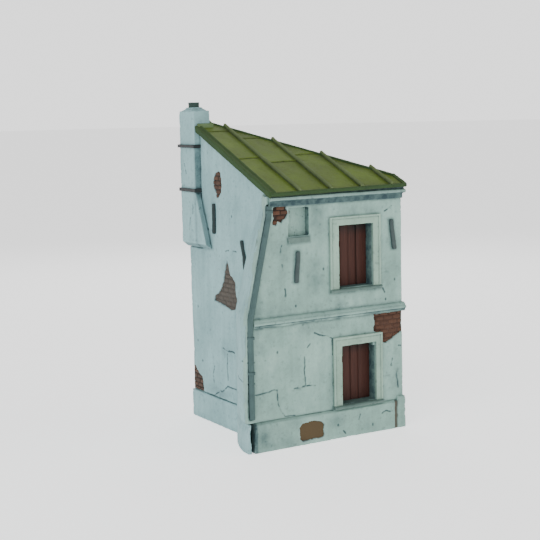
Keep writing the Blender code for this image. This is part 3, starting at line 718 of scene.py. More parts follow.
def painted_metal(name, colours, roughness=0.55, mottle=0.6, patch_scale=95.0):
    """Painted or weathered metal: patches of two shades, one tone per sheet, dark wash with painted shade,
    rubbed edges.
    """
    paint, shade, wash_and_shade_colour, edge_colour = colours
    finish, nodes, links = new_finish(name)

    patch_frame = nodes.new("NodeFrame")
    patch_frame.label = "Weather patches and sheet tones"
    wash_frame = nodes.new("NodeFrame")
    wash_frame.label = "Wash and rubbed edges"
    surface_frame = nodes.new("NodeFrame")
    surface_frame.label = "Surface of the paint"

    place = nodes.new("ShaderNodeTexCoord")
    place.label = "Place on the house"
    patches = nodes.new("ShaderNodeTexNoise")
    patches.label = "Weather patches"
    patches.inputs["Scale"].default_value = patch_scale
    patches.inputs["Detail"].default_value = 5.0
    patches.inputs["Roughness"].default_value = 0.62
    patch_range = nodes.new("ShaderNodeMapRange")
    patch_range.label = "How strong the patches are"
    patch_range.inputs["From Min"].default_value = 0.34
    patch_range.inputs["From Max"].default_value = 0.66
    patch_range.inputs["To Max"].default_value = mottle
    patched = nodes.new("ShaderNodeMix")
    patched.label = "Paint and its darker shade"
    patched.data_type = "RGBA"
    patched.inputs["A"].default_value = (*paint, 1.0)
    patched.inputs["B"].default_value = (*shade, 1.0)
    tone = nodes.new("ShaderNodeAttribute")
    tone.label = "Tone of each sheet"
    tone.attribute_name = "tone"
    tone_range = nodes.new("ShaderNodeMapRange")
    tone_range.label = "Sheets a little lighter or darker"
    tone_range.inputs["From Min"].default_value = -1.0
    tone_range.inputs["To Min"].default_value = 0.84
    tone_range.inputs["To Max"].default_value = 1.16
    toned = nodes.new("ShaderNodeVectorMath")
    toned.label = "Toned paint"
    toned.operation = "SCALE"

    # The wash channel holds the dark wash and the painted shade in hollows, gaps and under the strips
    wash_and_shade_amount = nodes.new("ShaderNodeAttribute")
    wash_and_shade_amount.label = "Where the wash settled"
    wash_and_shade_amount.attribute_name = "wash"
    wash_break = nodes.new("ShaderNodeTexNoise")
    wash_break.label = "Broken wash"
    wash_break.inputs["Scale"].default_value = 600.0
    wash_break.inputs["Detail"].default_value = 2.0
    break_range = nodes.new("ShaderNodeMapRange")
    break_range.label = "Thin to thick wash"
    break_range.inputs["From Min"].default_value = 0.3
    break_range.inputs["From Max"].default_value = 0.7
    break_range.inputs["To Min"].default_value = 0.6
    wash_share = nodes.new("ShaderNodeMath")
    wash_share.label = "Wash"
    wash_share.operation = "MULTIPLY"
    wash_share.use_clamp = True
    washed = nodes.new("ShaderNodeMix")
    washed.label = "Paint under the wash"
    washed.data_type = "RGBA"
    washed.inputs["B"].default_value = (*wash_and_shade_colour, 1.0)
    # On the roof's edge strips this channel holds painted highlight on their upward faces
    edge_amount = nodes.new("ShaderNodeAttribute")
    edge_amount.label = "Outer edges"
    edge_amount.attribute_name = "edge"
    edge_share = nodes.new("ShaderNodeMath")
    edge_share.label = "Rubbed edges"
    edge_share.operation = "MULTIPLY"
    edge_share.inputs[1].default_value = 0.4
    rubbed = nodes.new("ShaderNodeMix")
    rubbed.label = "Paler where rubbed"
    rubbed.data_type = "RGBA"
    rubbed.inputs["B"].default_value = (*edge_colour, 1.0)

    scuffs = nodes.new("ShaderNodeTexNoise")
    scuffs.label = "Scuffs 0.6 mm apart"
    scuffs.inputs["Scale"].default_value = 1700.0
    scuffs.inputs["Detail"].default_value = 3.0
    sheen_range = nodes.new("ShaderNodeMapRange")
    sheen_range.label = "Duller where scuffed"
    sheen_range.inputs["To Min"].default_value = roughness - 0.1
    sheen_range.inputs["To Max"].default_value = roughness + 0.15
    relief = nodes.new("ShaderNodeBump")
    relief.label = "Scuffed paint"
    relief.inputs["Strength"].default_value = 0.3
    relief.inputs["Distance"].default_value = 0.00005
    shader = nodes.new("ShaderNodeBsdfPrincipled")
    shader.label = "Painted metal"
    shader.inputs["Specular IOR Level"].default_value = 0.4
    output = nodes.new("ShaderNodeOutputMaterial")
    output.label = "Surface"

    for node, x, y in (
            (place, -1700, 0), (patches, -1450, 300), (patch_range, -1230, 300), (patched, -1000, 300),
            (tone, -1230, 0), (tone_range, -1000, 0), (toned, -780, 200), (wash_and_shade_amount, -1000, -300),
            (wash_break, -1230, -460), (break_range, -1000, -480), (wash_share, -780, -350),
            (washed, -560, 150), (edge_amount, -780, -560), (edge_share, -560, -400),
            (rubbed, -340, 150), (scuffs, -560, -760), (sheen_range, -120, -250), (relief, -120, -520),
            (shader, 120, 50), (output, 420, 50)):
        node.location = (x, y)
    for group, members in (
            (patch_frame, (patches, patch_range, patched, tone, tone_range, toned)),
            (wash_frame, (wash_and_shade_amount, wash_break, break_range, wash_share, washed, edge_amount,
                          edge_share, rubbed)),
            (surface_frame, (scuffs, sheen_range, relief))):
        for node in members:
            node.parent = group

    links.new(place.outputs["Object"], patches.inputs["Vector"])
    links.new(patches.outputs["Fac"], patch_range.inputs["Value"])
    links.new(patch_range.outputs["Result"], patched.inputs["Factor"])
    links.new(tone.outputs["Fac"], tone_range.inputs["Value"])
    links.new(patched.outputs["Result"], toned.inputs[0])
    links.new(tone_range.outputs["Result"], toned.inputs["Scale"])
    links.new(place.outputs["Object"], wash_break.inputs["Vector"])
    links.new(wash_break.outputs["Fac"], break_range.inputs["Value"])
    links.new(wash_and_shade_amount.outputs["Fac"], wash_share.inputs[0])
    links.new(break_range.outputs["Result"], wash_share.inputs[1])
    links.new(toned.outputs["Vector"], washed.inputs["A"])
    links.new(wash_share.outputs["Value"], washed.inputs["Factor"])
    links.new(edge_amount.outputs["Fac"], edge_share.inputs[0])
    links.new(washed.outputs["Result"], rubbed.inputs["A"])
    links.new(edge_share.outputs["Value"], rubbed.inputs["Factor"])
    links.new(rubbed.outputs["Result"], shader.inputs["Base Color"])
    links.new(place.outputs["Object"], scuffs.inputs["Vector"])
    links.new(scuffs.outputs["Fac"], sheen_range.inputs["Value"])
    links.new(sheen_range.outputs["Result"], shader.inputs["Roughness"])
    links.new(scuffs.outputs["Fac"], relief.inputs["Height"])
    links.new(relief.outputs["Normal"], shader.inputs["Normal"])
    links.new(shader.outputs["BSDF"], output.inputs["Surface"])
    return finish


def old_brick(name, colours):
    """Brick and mortar: each brick its own tone, crumbly specks, and dust on the older patches."""
    light, dark, mortar, dust_colour = colours
    finish, nodes, links = new_finish(name)

    brick_frame = nodes.new("NodeFrame")
    brick_frame.label = "Bricks and mortar"
    dust_frame = nodes.new("NodeFrame")
    dust_frame.label = "Dust and grain"

    place = nodes.new("ShaderNodeTexCoord")
    place.label = "Place on the house"
    tone = nodes.new("ShaderNodeAttribute")
    tone.label = "Tone of each brick, below 0 in the mortar"
    tone.attribute_name = "tone"
    brick_range = nodes.new("ShaderNodeMapRange")
    brick_range.label = "Tone to colour"
    brick_range.inputs["To Min"].default_value = -0.25
    brick_range.inputs["To Max"].default_value = 0.35
    crumbs = nodes.new("ShaderNodeTexNoise")
    crumbs.label = "Crumbly specks"
    crumbs.inputs["Scale"].default_value = 1500.0
    crumbs.inputs["Detail"].default_value = 4.0
    crumbs.inputs["Roughness"].default_value = 0.7
    blended = nodes.new("ShaderNodeMath")
    blended.label = "Tone with specks"
    blended.operation = "MULTIPLY_ADD"
    blended.inputs[1].default_value = 0.9
    brick = nodes.new("ShaderNodeMix")
    brick.label = "Brick colour"
    brick.data_type = "RGBA"
    brick.inputs["A"].default_value = (*dark, 1.0)
    brick.inputs["B"].default_value = (*light, 1.0)
    in_mortar = nodes.new("ShaderNodeMath")
    in_mortar.label = "Mortar or brick"
    in_mortar.operation = "LESS_THAN"
    in_mortar.inputs[1].default_value = MORTAR_TONE
    pointed = nodes.new("ShaderNodeMix")
    pointed.label = "Bricks in mortar"
    pointed.data_type = "RGBA"
    pointed.inputs["B"].default_value = (*mortar, 1.0)

    dust = nodes.new("ShaderNodeAttribute")
    dust.label = "How dusty the patch is"
    dust.attribute_name = "dust"
    dusty = nodes.new("ShaderNodeMix")
    dusty.label = "Dust over the brick"
    dusty.data_type = "RGBA"
    dusty.inputs["B"].default_value = (*dust_colour, 1.0)
    relief = nodes.new("ShaderNodeBump")
    relief.label = "Crumbly face"
    relief.inputs["Strength"].default_value = 0.6
    relief.inputs["Distance"].default_value = 0.0001
    shader = nodes.new("ShaderNodeBsdfPrincipled")
    shader.label = "Brick"
    shader.inputs["Roughness"].default_value = 0.9
    shader.inputs["Specular IOR Level"].default_value = 0.2
    output = nodes.new("ShaderNodeOutputMaterial")
    output.label = "Surface"

    for node, x, y in (
            (place, -1500, -200), (tone, -1300, 200), (brick_range, -1080, 260), (crumbs, -1300, -200),
            (blended, -860, 200), (brick, -640, 200), (in_mortar, -860, -60), (pointed, -420, 120),
            (dust, -640, -260), (dusty, -200, 80), (relief, -200, -260), (shader, 20, 60),
            (output, 320, 60)):
        node.location = (x, y)
    for group, members in ((brick_frame, (tone, brick_range, crumbs, blended, brick, in_mortar, pointed)),
                           (dust_frame, (dust, dusty, relief))):
        for node in members:
            node.parent = group

    links.new(tone.outputs["Fac"], brick_range.inputs["Value"])
    links.new(place.outputs["Object"], crumbs.inputs["Vector"])
    links.new(crumbs.outputs["Fac"], blended.inputs[0])
    links.new(brick_range.outputs["Result"], blended.inputs[2])
    links.new(blended.outputs["Value"], brick.inputs["Factor"])
    links.new(tone.outputs["Fac"], in_mortar.inputs[0])
    links.new(brick.outputs["Result"], pointed.inputs["A"])
    links.new(in_mortar.outputs["Value"], pointed.inputs["Factor"])
    links.new(pointed.outputs["Result"], dusty.inputs["A"])
    links.new(dust.outputs["Fac"], dusty.inputs["Factor"])
    links.new(dusty.outputs["Result"], shader.inputs["Base Color"])
    links.new(crumbs.outputs["Fac"], relief.inputs["Height"])
    links.new(relief.outputs["Normal"], shader.inputs["Normal"])
    links.new(shader.outputs["BSDF"], output.inputs["Surface"])
    return finish


def stained_boards(name, colours):
    """Old stained boards: grain along each board, its own tone, and soot with painted shadow under the
    window's head.
    """
    light, dark, soot = colours
    finish, nodes, links = new_finish(name)

    grain_frame = nodes.new("NodeFrame")
    grain_frame.label = "Wood grain"
    soot_frame = nodes.new("NodeFrame")
    soot_frame.label = "Tone and soot"

    place = nodes.new("ShaderNodeTexCoord")
    place.label = "Place on the house"
    along = nodes.new("ShaderNodeMapping")
    along.label = "Stretched along the boards"
    along.inputs["Scale"].default_value = (2600.0, 2600.0, 110.0)
    grain = nodes.new("ShaderNodeTexNoise")
    grain.label = "Grain"
    grain.inputs["Scale"].default_value = 1.0
    grain.inputs["Detail"].default_value = 4.0
    grain.inputs["Distortion"].default_value = 0.4
    tone = nodes.new("ShaderNodeAttribute")
    tone.label = "Tone of each board"
    tone.attribute_name = "tone"
    tone_share = nodes.new("ShaderNodeMath")
    tone_share.label = "Grain with tone"
    tone_share.operation = "MULTIPLY_ADD"
    tone_share.inputs[1].default_value = 0.07
    wood = nodes.new("ShaderNodeMix")
    wood.label = "Stained wood"
    wood.data_type = "RGBA"
    wood.inputs["A"].default_value = (*dark, 1.0)
    wood.inputs["B"].default_value = (*light, 1.0)
    wash = nodes.new("ShaderNodeAttribute")
    wash.label = "Soot and wash"
    wash.attribute_name = "wash"
    sooted = nodes.new("ShaderNodeMix")
    sooted.label = "Sooty wood"
    sooted.data_type = "RGBA"
    sooted.inputs["B"].default_value = (*soot, 1.0)
    relief = nodes.new("ShaderNodeBump")
    relief.label = "Raised grain"
    relief.inputs["Strength"].default_value = 0.5
    relief.inputs["Distance"].default_value = 0.00008
    shader = nodes.new("ShaderNodeBsdfPrincipled")
    shader.label = "Stained wood"
    shader.inputs["Roughness"].default_value = 0.7
    shader.inputs["Specular IOR Level"].default_value = 0.3
    output = nodes.new("ShaderNodeOutputMaterial")
    output.label = "Surface"

    for node, x, y in (
            (place, -1500, 0), (along, -1300, 0), (grain, -1080, 0), (tone, -1080, -260),
            (tone_share, -860, -60), (wood, -640, 60), (wash, -640, -240), (sooted, -420, 40),
            (relief, -420, -260), (shader, -200, 40), (output, 100, 40)):
        node.location = (x, y)
    for group, members in ((grain_frame, (along, grain, relief)),
                           (soot_frame, (tone, tone_share, wood, wash, sooted))):
        for node in members:
            node.parent = group

    links.new(place.outputs["Object"], along.inputs["Vector"])
    links.new(along.outputs["Vector"], grain.inputs["Vector"])
    links.new(tone.outputs["Fac"], tone_share.inputs[0])
    links.new(grain.outputs["Fac"], tone_share.inputs[2])
    links.new(tone_share.outputs["Value"], wood.inputs["Factor"])
    links.new(wood.outputs["Result"], sooted.inputs["A"])
    links.new(wash.outputs["Fac"], sooted.inputs["Factor"])
    links.new(sooted.outputs["Result"], shader.inputs["Base Color"])
    links.new(grain.outputs["Fac"], relief.inputs["Height"])
    links.new(relief.outputs["Normal"], shader.inputs["Normal"])
    links.new(shader.outputs["BSDF"], output.inputs["Surface"])
    return finish


# ---------------------------------------------------------------- node trees


def socket_of(tree, name, kind, default=None):
    """Add a named input to a geometry tree."""
    socket = tree.interface.new_socket(name, in_out="INPUT", socket_type=kind)
    if default is not None:
        socket.default_value = default
    return socket


def run_tree(mesh, tree, values):
    """The mesh that a geometry tree makes from a mesh, with its named inputs set."""
    holder = linked("stock", mesh)
    modifier = holder.modifiers.new(tree.name, "NODES")
    modifier.node_group = tree
    for item in tree.interface.items_tree:
        if item.item_type == "SOCKET" and item.in_out == "INPUT" and item.name in values:
            modifier[item.identifier] = values[item.name]
    return applied(holder)


def brick_course_tree():
    """Courses of bricks over a bed of mortar, kept only where the bed is."""
    tree = bpy.data.node_groups.new("Brick courses", "GeometryNodeTree")
    nodes, links = tree.nodes, tree.links
    socket_of(tree, "Bed", "NodeSocketGeometry")
    socket_of(tree, "Brick", "NodeSocketObject")
    socket_of(tree, "Length", "NodeSocketFloat", 0.0042)
    socket_of(tree, "Course", "NodeSocketFloat", 0.0018)
    socket_of(tree, "Unevenness", "NodeSocketFloat", 0.0001)
    socket_of(tree, "Seed", "NodeSocketInt", 0)
    socket_of(tree, "Finish", "NodeSocketMaterial")
    tree.interface.new_socket("Brickwork", in_out="OUTPUT", socket_type="NodeSocketGeometry")

    given = nodes.new("NodeGroupInput")
    made = nodes.new("NodeGroupOutput")
    bounds = nodes.new("GeometryNodeBoundBox")
    bounds.label = "Bed's box"
    size = nodes.new("ShaderNodeVectorMath")
    size.label = "Bed's size"
    size.operation = "SUBTRACT"
    sides = nodes.new("ShaderNodeSeparateXYZ")
    sides.label = "Width and height"
    columns = nodes.new("ShaderNodeMath")
    columns.label = "Bricks across"
    columns.operation = "DIVIDE"
    columns_up = nodes.new("ShaderNodeMath")
    columns_up.label = "With spare ones"
    columns_up.operation = "ADD"
    columns_up.inputs[1].default_value = 3.0
    rows = nodes.new("ShaderNodeMath")
    rows.label = "Courses up"
    rows.operation = "DIVIDE"
    rows_up = nodes.new("ShaderNodeMath")
    rows_up.label = "With a spare one"
    rows_up.operation = "ADD"
    rows_up.inputs[1].default_value = 2.0
    line_up = nodes.new("GeometryNodeMeshLine")
    line_up.label = "One point per course"
    up = nodes.new("ShaderNodeCombineXYZ")
    up.label = "Course by course"
    line_across = nodes.new("GeometryNodeMeshLine")
    line_across.label = "Bricks of one course"
    across = nodes.new("ShaderNodeCombineXYZ")
    across.label = "Brick by brick"
    course_number = nodes.new("GeometryNodeInputIndex")
    course_number.label = "Course number"
    odd = nodes.new("ShaderNodeMath")
    odd.label = "Every second course"
    odd.operation = "MODULO"
    odd.inputs[1].default_value = 2.0
    half = nodes.new("ShaderNodeMath")
    half.label = "Half a brick along"
    half.operation = "MULTIPLY"
    half_length = nodes.new("ShaderNodeMath")
    half_length.label = "Half a brick"
    half_length.operation = "MULTIPLY"
    half_length.inputs[1].default_value = -0.5
    stagger = nodes.new("ShaderNodeCombineXYZ")
    stagger.label = "Stagger"
    staggered = nodes.new("GeometryNodeSetPosition")
    staggered.label = "Broken joints"
    rows_made = nodes.new("GeometryNodeInstanceOnPoints")
    rows_made.label = "A course at each height"
    spots = nodes.new("GeometryNodeRealizeInstances")
    spots.label = "Brick spots"
    look = nodes.new("ShaderNodeVectorMath")
    look.label = "From in front of the wall"
    look.operation = "ADD"
    look.inputs[1].default_value = (0.0, -0.005, 0.0)
    here = nodes.new("GeometryNodeInputPosition")
    over_bed = nodes.new("GeometryNodeRaycast")
    over_bed.label = "Is there a bed behind"
    over_bed.inputs["Ray Direction"].default_value = (0.0, 1.0, 0.0)
    over_bed.inputs["Ray Length"].default_value = 0.02
    off_bed = nodes.new("FunctionNodeBooleanMath")
    off_bed.label = "No bed"
    off_bed.operation = "NOT"
    kept = nodes.new("GeometryNodeDeleteGeometry")
    kept.label = "Only over the bed"
    tone = nodes.new("FunctionNodeRandomValue")
    tone.label = "Tone of each brick"
    toned = nodes.new("GeometryNodeStoreNamedAttribute")
    toned.label = "Keep the tone"
    toned.inputs["Name"].default_value = "tone"
    brick = nodes.new("GeometryNodeObjectInfo")
    brick.label = "One brick"
    turn = nodes.new("FunctionNodeRandomValue")
    turn.label = "Slightly crooked"
    turn.data_type = "FLOAT_VECTOR"
    turn.inputs[0].default_value = (-0.05, -0.03, -0.05)
    turn.inputs[1].default_value = (0.05, 0.03, 0.05)
    worn = nodes.new("FunctionNodeRandomValue")
    worn.label = "Worn to different sizes"
    worn.data_type = "FLOAT_VECTOR"
    worn.inputs[0].default_value = (0.88, 0.75, 0.86)
    worn.inputs[1].default_value = (1.0, 1.1, 1.02)
    laid = nodes.new("GeometryNodeInstanceOnPoints")
    laid.label = "Lay the bricks"
    solid = nodes.new("GeometryNodeRealizeInstances")
    crumble = nodes.new("ShaderNodeTexNoise")
    crumble.label = "Crumbled faces"
    crumble.inputs["Scale"].default_value = 900.0
    centred = nodes.new("ShaderNodeVectorMath")
    centred.label = "In and out"
    centred.operation = "SUBTRACT"
    centred.inputs[1].default_value = (0.5, 0.5, 0.5)
    amount = nodes.new("ShaderNodeVectorMath")
    amount.label = "By the unevenness"
    amount.operation = "SCALE"
    crumbled = nodes.new("GeometryNodeSetPosition")
    crumbled.label = "Uneven bricks"
    bed_tone = nodes.new("GeometryNodeStoreNamedAttribute")
    bed_tone.label = "Mark the mortar"
    bed_tone.inputs["Name"].default_value = "tone"
    bed_tone.inputs["Value"].default_value = -1.0
    together = nodes.new("GeometryNodeJoinGeometry")
    finish = nodes.new("GeometryNodeSetMaterial")

    for index, node in enumerate(nodes):
        node.location = (260 * (index % 9), -260 * (index // 9))

    for source, output, target, socket in (
            (given, "Bed", bounds, "Geometry"), (bounds, "Max", size, 0), (bounds, "Min", size, 1),
            (size, "Vector", sides, "Vector"), (sides, "X", columns, 0), (given, "Length", columns, 1),
            (columns, "Value", columns_up, 0), (sides, "Z", rows, 0), (given, "Course", rows, 1),
            (rows, "Value", rows_up, 0), (given, "Course", up, "Z"), (rows_up, "Value", line_up, "Count"),
            (bounds, "Min", line_up, "Start Location"), (up, "Vector", line_up, "Offset"),
            (given, "Length", across, "X"), (columns_up, "Value", line_across, "Count"),
            (across, "Vector", line_across, "Offset"), (course_number, "Index", odd, 0),
            (given, "Length", half_length, 0), (odd, "Value", half, 0), (half_length, "Value", half, 1),
            (half, "Value", stagger, "X"), (line_up, "Mesh", staggered, "Geometry"),
            (stagger, "Vector", staggered, "Offset"), (staggered, "Geometry", rows_made, "Points"),
            (line_across, "Mesh", rows_made, "Instance"), (rows_made, "Instances", spots, "Geometry"),
            (here, "Position", look, 0), (given, "Bed", over_bed, "Target Geometry"),
            (look, "Vector", over_bed, "Source Position"), (over_bed, "Is Hit", off_bed, 0),
            (spots, "Geometry", kept, "Geometry"), (off_bed, "Boolean", kept, "Selection"),
            (kept, "Geometry", toned, "Geometry"), (given, "Seed", tone, "Seed"),
            (tone, 1, toned, "Value"), (given, "Brick", brick, "Object"), (given, "Seed", turn, "Seed"),
            (given, "Seed", worn, "Seed"), (toned, "Geometry", laid, "Points"),
            (brick, "Geometry", laid, "Instance"), (turn, 0, laid, "Rotation"), (worn, 0, laid, "Scale"),
            (laid, "Instances", solid, "Geometry"), (crumble, "Color", centred, 0),
            (centred, "Vector", amount, 0), (given, "Unevenness", amount, "Scale"),
            (solid, "Geometry", crumbled, "Geometry"), (amount, "Vector", crumbled, "Offset"),
            (given, "Bed", bed_tone, "Geometry"), (bed_tone, "Geometry", together, "Geometry"),
            (crumbled, "Geometry", together, "Geometry"), (together, "Geometry", finish, "Geometry"),
            (given, "Finish", finish, "Material"), (finish, "Geometry", made, "Brickwork")):
        links.new(source.outputs[output], target.inputs[socket])
    return tree


def board_tree():
    """Boards side by side, one on each point, as wide as the point says."""
    tree = bpy.data.node_groups.new("Boards", "GeometryNodeTree")
    nodes, links = tree.nodes, tree.links
    socket_of(tree, "Places", "NodeSocketGeometry")
    socket_of(tree, "Board", "NodeSocketObject")
    socket_of(tree, "Grain depth", "NodeSocketFloat", 0.0001)
    socket_of(tree, "Seed", "NodeSocketInt", 0)
    socket_of(tree, "Finish", "NodeSocketMaterial")
    tree.interface.new_socket("Boards", in_out="OUTPUT", socket_type="NodeSocketGeometry")

    given = nodes.new("NodeGroupInput")
    made = nodes.new("NodeGroupOutput")
    width = nodes.new("GeometryNodeInputNamedAttribute")
    width.label = "Width of each board"
    width.inputs["Name"].default_value = "width"
    scale = nodes.new("ShaderNodeCombineXYZ")
    scale.label = "As wide as it should be"
    scale.inputs["Y"].default_value = 1.0
    scale.inputs["Z"].default_value = 1.0
    tone = nodes.new("FunctionNodeRandomValue")
    tone.label = "Tone of each board"
    toned = nodes.new("GeometryNodeStoreNamedAttribute")
    toned.label = "Keep the tone"
    toned.inputs["Name"].default_value = "tone"
    board = nodes.new("GeometryNodeObjectInfo")
    board.label = "One board"
    nailed = nodes.new("GeometryNodeInstanceOnPoints")
    nailed.label = "Put up the boards"
    turn = nodes.new("FunctionNodeRandomValue")
    turn.label = "Slightly crooked"
    turn.data_type = "FLOAT_VECTOR"
    turn.inputs[0].default_value = (-0.004, -0.003, -0.02)
    turn.inputs[1].default_value = (0.004, 0.003, 0.02)
    solid = nodes.new("GeometryNodeRealizeInstances")
    place = nodes.new("GeometryNodeInputPosition")
    along = nodes.new("ShaderNodeVectorMath")
    along.label = "Stretched along the boards"
    along.operation = "MULTIPLY"
    along.inputs[1].default_value = (1.0, 1.0, 0.06)
    grain = nodes.new("ShaderNodeTexNoise")
    grain.label = "Grain"
    grain.inputs["Scale"].default_value = 2200.0
    centred = nodes.new("ShaderNodeMath")
    centred.label = "In and out"
    centred.operation = "SUBTRACT"
    centred.inputs[1].default_value = 0.5
    amount = nodes.new("ShaderNodeMath")
    amount.label = "By the grain's depth"
    amount.operation = "MULTIPLY"
    push = nodes.new("ShaderNodeCombineXYZ")
    push.label = "Square to the face"
    grained = nodes.new("GeometryNodeSetPosition")
    grained.label = "Raised grain"
    finish = nodes.new("GeometryNodeSetMaterial")

    for index, node in enumerate(nodes):
        node.location = (260 * (index % 7), -260 * (index // 7))

    for source, output, target, socket in (
            (width, "Attribute", scale, "X"), (given, "Places", toned, "Geometry"),
            (given, "Seed", tone, "Seed"), (tone, 1, toned, "Value"), (given, "Board", board, "Object"),
            (given, "Seed", turn, "Seed"), (toned, "Geometry", nailed, "Points"),
            (board, "Geometry", nailed, "Instance"), (turn, 0, nailed, "Rotation"),
            (scale, "Vector", nailed, "Scale"), (nailed, "Instances", solid, "Geometry"),
            (place, "Position", along, 0), (along, "Vector", grain, "Vector"), (grain, "Fac", centred, 0),
            (centred, "Value", amount, 0), (given, "Grain depth", amount, 1), (amount, "Value", push, "Y"),
            (solid, "Geometry", grained, "Geometry"), (push, "Vector", grained, "Offset"),
            (grained, "Geometry", finish, "Geometry"), (given, "Finish", finish, "Material"),
            (finish, "Geometry", made, "Boards")):
        links.new(source.outputs[output], target.inputs[socket])
    return tree


def swept_tree():
    """A rounded section swept along each line: the roof's rolls and the downpipe."""
    tree = bpy.data.node_groups.new("Swept section", "GeometryNodeTree")
    nodes, links = tree.nodes, tree.links
    socket_of(tree, "Lines", "NodeSocketGeometry")
    socket_of(tree, "Width", "NodeSocketFloat", 0.001)
    socket_of(tree, "Height", "NodeSocketFloat", 0.0015)
    socket_of(tree, "Rounding", "NodeSocketFloat", 0.0003)
    socket_of(tree, "Bend radius", "NodeSocketFloat", 0.0)
    socket_of(tree, "Step", "NodeSocketFloat", 0.0006)
    socket_of(tree, "Unevenness", "NodeSocketFloat", 0.0001)
    socket_of(tree, "Finish", "NodeSocketMaterial")
    tree.interface.new_socket("Swept", in_out="OUTPUT", socket_type="NodeSocketGeometry")

    given = nodes.new("NodeGroupInput")
    made = nodes.new("NodeGroupOutput")
    lines = nodes.new("GeometryNodeMeshToCurve")
    bends = nodes.new("GeometryNodeFilletCurve")
    bends.label = "Soft bends"
    bends.mode = "POLY"
    bends.inputs["Count"].default_value = 6
    steps = nodes.new("GeometryNodeResampleCurve")
    steps.label = "Even steps"
    steps.mode = "LENGTH"
    upright = nodes.new("GeometryNodeSetCurveNormal")
    upright.label = "Keep it upright"
    upright.mode = "Z_UP"
    section = nodes.new("GeometryNodeCurvePrimitiveQuadrilateral")
    section.label = "Section"
    rounded = nodes.new("GeometryNodeFilletCurve")
    rounded.label = "Rounded section"
    rounded.mode = "POLY"
    rounded.inputs["Count"].default_value = 4
    swept = nodes.new("GeometryNodeCurveToMesh")
    swept.inputs["Fill Caps"].default_value = True
    knocks = nodes.new("ShaderNodeTexNoise")
    knocks.label = "Knocks"
    knocks.inputs["Scale"].default_value = 420.0
    centred = nodes.new("ShaderNodeVectorMath")
    centred.label = "In and out"
    centred.operation = "SUBTRACT"
    centred.inputs[1].default_value = (0.5, 0.5, 0.5)
    amount = nodes.new("ShaderNodeVectorMath")
    amount.label = "By the unevenness"
    amount.operation = "SCALE"
    knocked = nodes.new("GeometryNodeSetPosition")
    knocked.label = "Uneven by hand"
    solid = nodes.new("GeometryNodeRealizeInstances")
    finish = nodes.new("GeometryNodeSetMaterial")

    for index, node in enumerate(nodes):
        node.location = (260 * (index % 7), -260 * (index // 7))

    for source, output, target, socket in (
            (given, "Lines", lines, "Mesh"), (lines, "Curve", bends, "Curve"),
            (given, "Bend radius", bends, "Radius"), (bends, "Curve", steps, "Curve"),
            (given, "Step", steps, "Length"), (steps, "Curve", upright, "Curve"),
            (given, "Width", section, "Width"), (given, "Height", section, "Height"),
            (section, "Curve", rounded, "Curve"), (given, "Rounding", rounded, "Radius"),
            (upright, "Curve", swept, "Curve"), (rounded, "Curve", swept, "Profile Curve"),
            (knocks, "Color", centred, 0), (centred, "Vector", amount, 0),
            (given, "Unevenness", amount, "Scale"), (swept, "Mesh", knocked, "Geometry"),
            (amount, "Vector", knocked, "Offset"), (knocked, "Geometry", solid, "Geometry"),
            (solid, "Geometry", finish, "Geometry"), (given, "Finish", finish, "Material"),
            (finish, "Geometry", made, "Swept")):
        links.new(source.outputs[output], target.inputs[socket])
    return tree


def tree_named(name, build):
    """A geometry tree, built once."""
    return bpy.data.node_groups.get(name) or build()


def line_mesh(name, lines):
    """Loose lines of points, in house millimetres."""
    points, edges = [], []
    for line in lines:
        first = len(points)
        points += [tuple(point) for point in to_frame(line)]
        edges += [(first + index, first + index + 1) for index in range(len(line) - 1)]
    mesh = bpy.data.meshes.new(name)
    mesh.from_pydata(points, edges, [])
    return mesh


def swept(lines, finish, **sizes):
    """Rounded sections along lines. Sizes are in mm, by the tree's input names."""
    values = {name.replace("_", " ").capitalize(): size * MM for name, size in sizes.items()}
    values["Finish"] = finish
    mesh = run_tree(line_mesh("lines", lines), tree_named("Swept section", swept_tree), values)
    return reworked(mesh, merge=0.02, outwards=True)


def wash_and_shade_by(mesh, cell, near, reach, strength, tone=0.0):
    """Store the tone, and where the wash, the painted shade next to the given parts and the rubbed edges lie,
    on a mesh that is already shaped.
    """
    points, normals, pairs = points_of(mesh), normals_of(mesh), edges_of(mesh)
    hollow = hollowness(points, normals, pairs, cell)
    wash = np.clip(spread(hollow, pairs, 2) * 4.0, 0.0, 1.0)
    # Next to the given parts the mesh darkens: painted shade
    wash = wash + strength * closeness(points, near, reach) ** 1.3
    store(mesh, "wash", np.clip(wash, 0.0, 1.0))
    store(mesh, "edge", np.clip(-spread(hollow, pairs, 2) * 3.0 - 0.2, 0.0, 1.0))
    store_level(mesh, "tone", tone)


# ---------------------------------------------------------------- finishes of this house


def finish_named(name, build):
    """A finish, made once."""
    return bpy.data.materials.get(name) or build(name)


def dimmed(colour, share):
    """A colour at a share of its brightness."""
    return [share * channel for channel in colour]


def render_finish(settings, name, share=1.0, mottle=0.7, facade=False):
    """The wall render's finish at a share of its brightness. On the facade it takes a darker, greener copy of
    the paint, which is painted shade for the facade's less lit side.
    """
    paint, shade = settings.render_colour, settings.render_shade
    # The facade's copy of the render is darker and greener: painted shade
    if facade:
        paint, shade = settings.facade_shaded_colour, settings.facade_shaded_blotches
    colours = (dimmed(paint, share), dimmed(shade, share), settings.wash_and_shade_colour, settings.edge_colour,
               settings.bare_colour)
    return finish_named(name, lambda made: painted_plaster(made, colours, mottle))


def metal_finish(name, colour, shade, wash, edge, **how):
    """A painted metal finish."""
    return finish_named(name, lambda made: painted_metal(made, (colour, shade, wash, edge), **how))


# ---------------------------------------------------------------- pieces


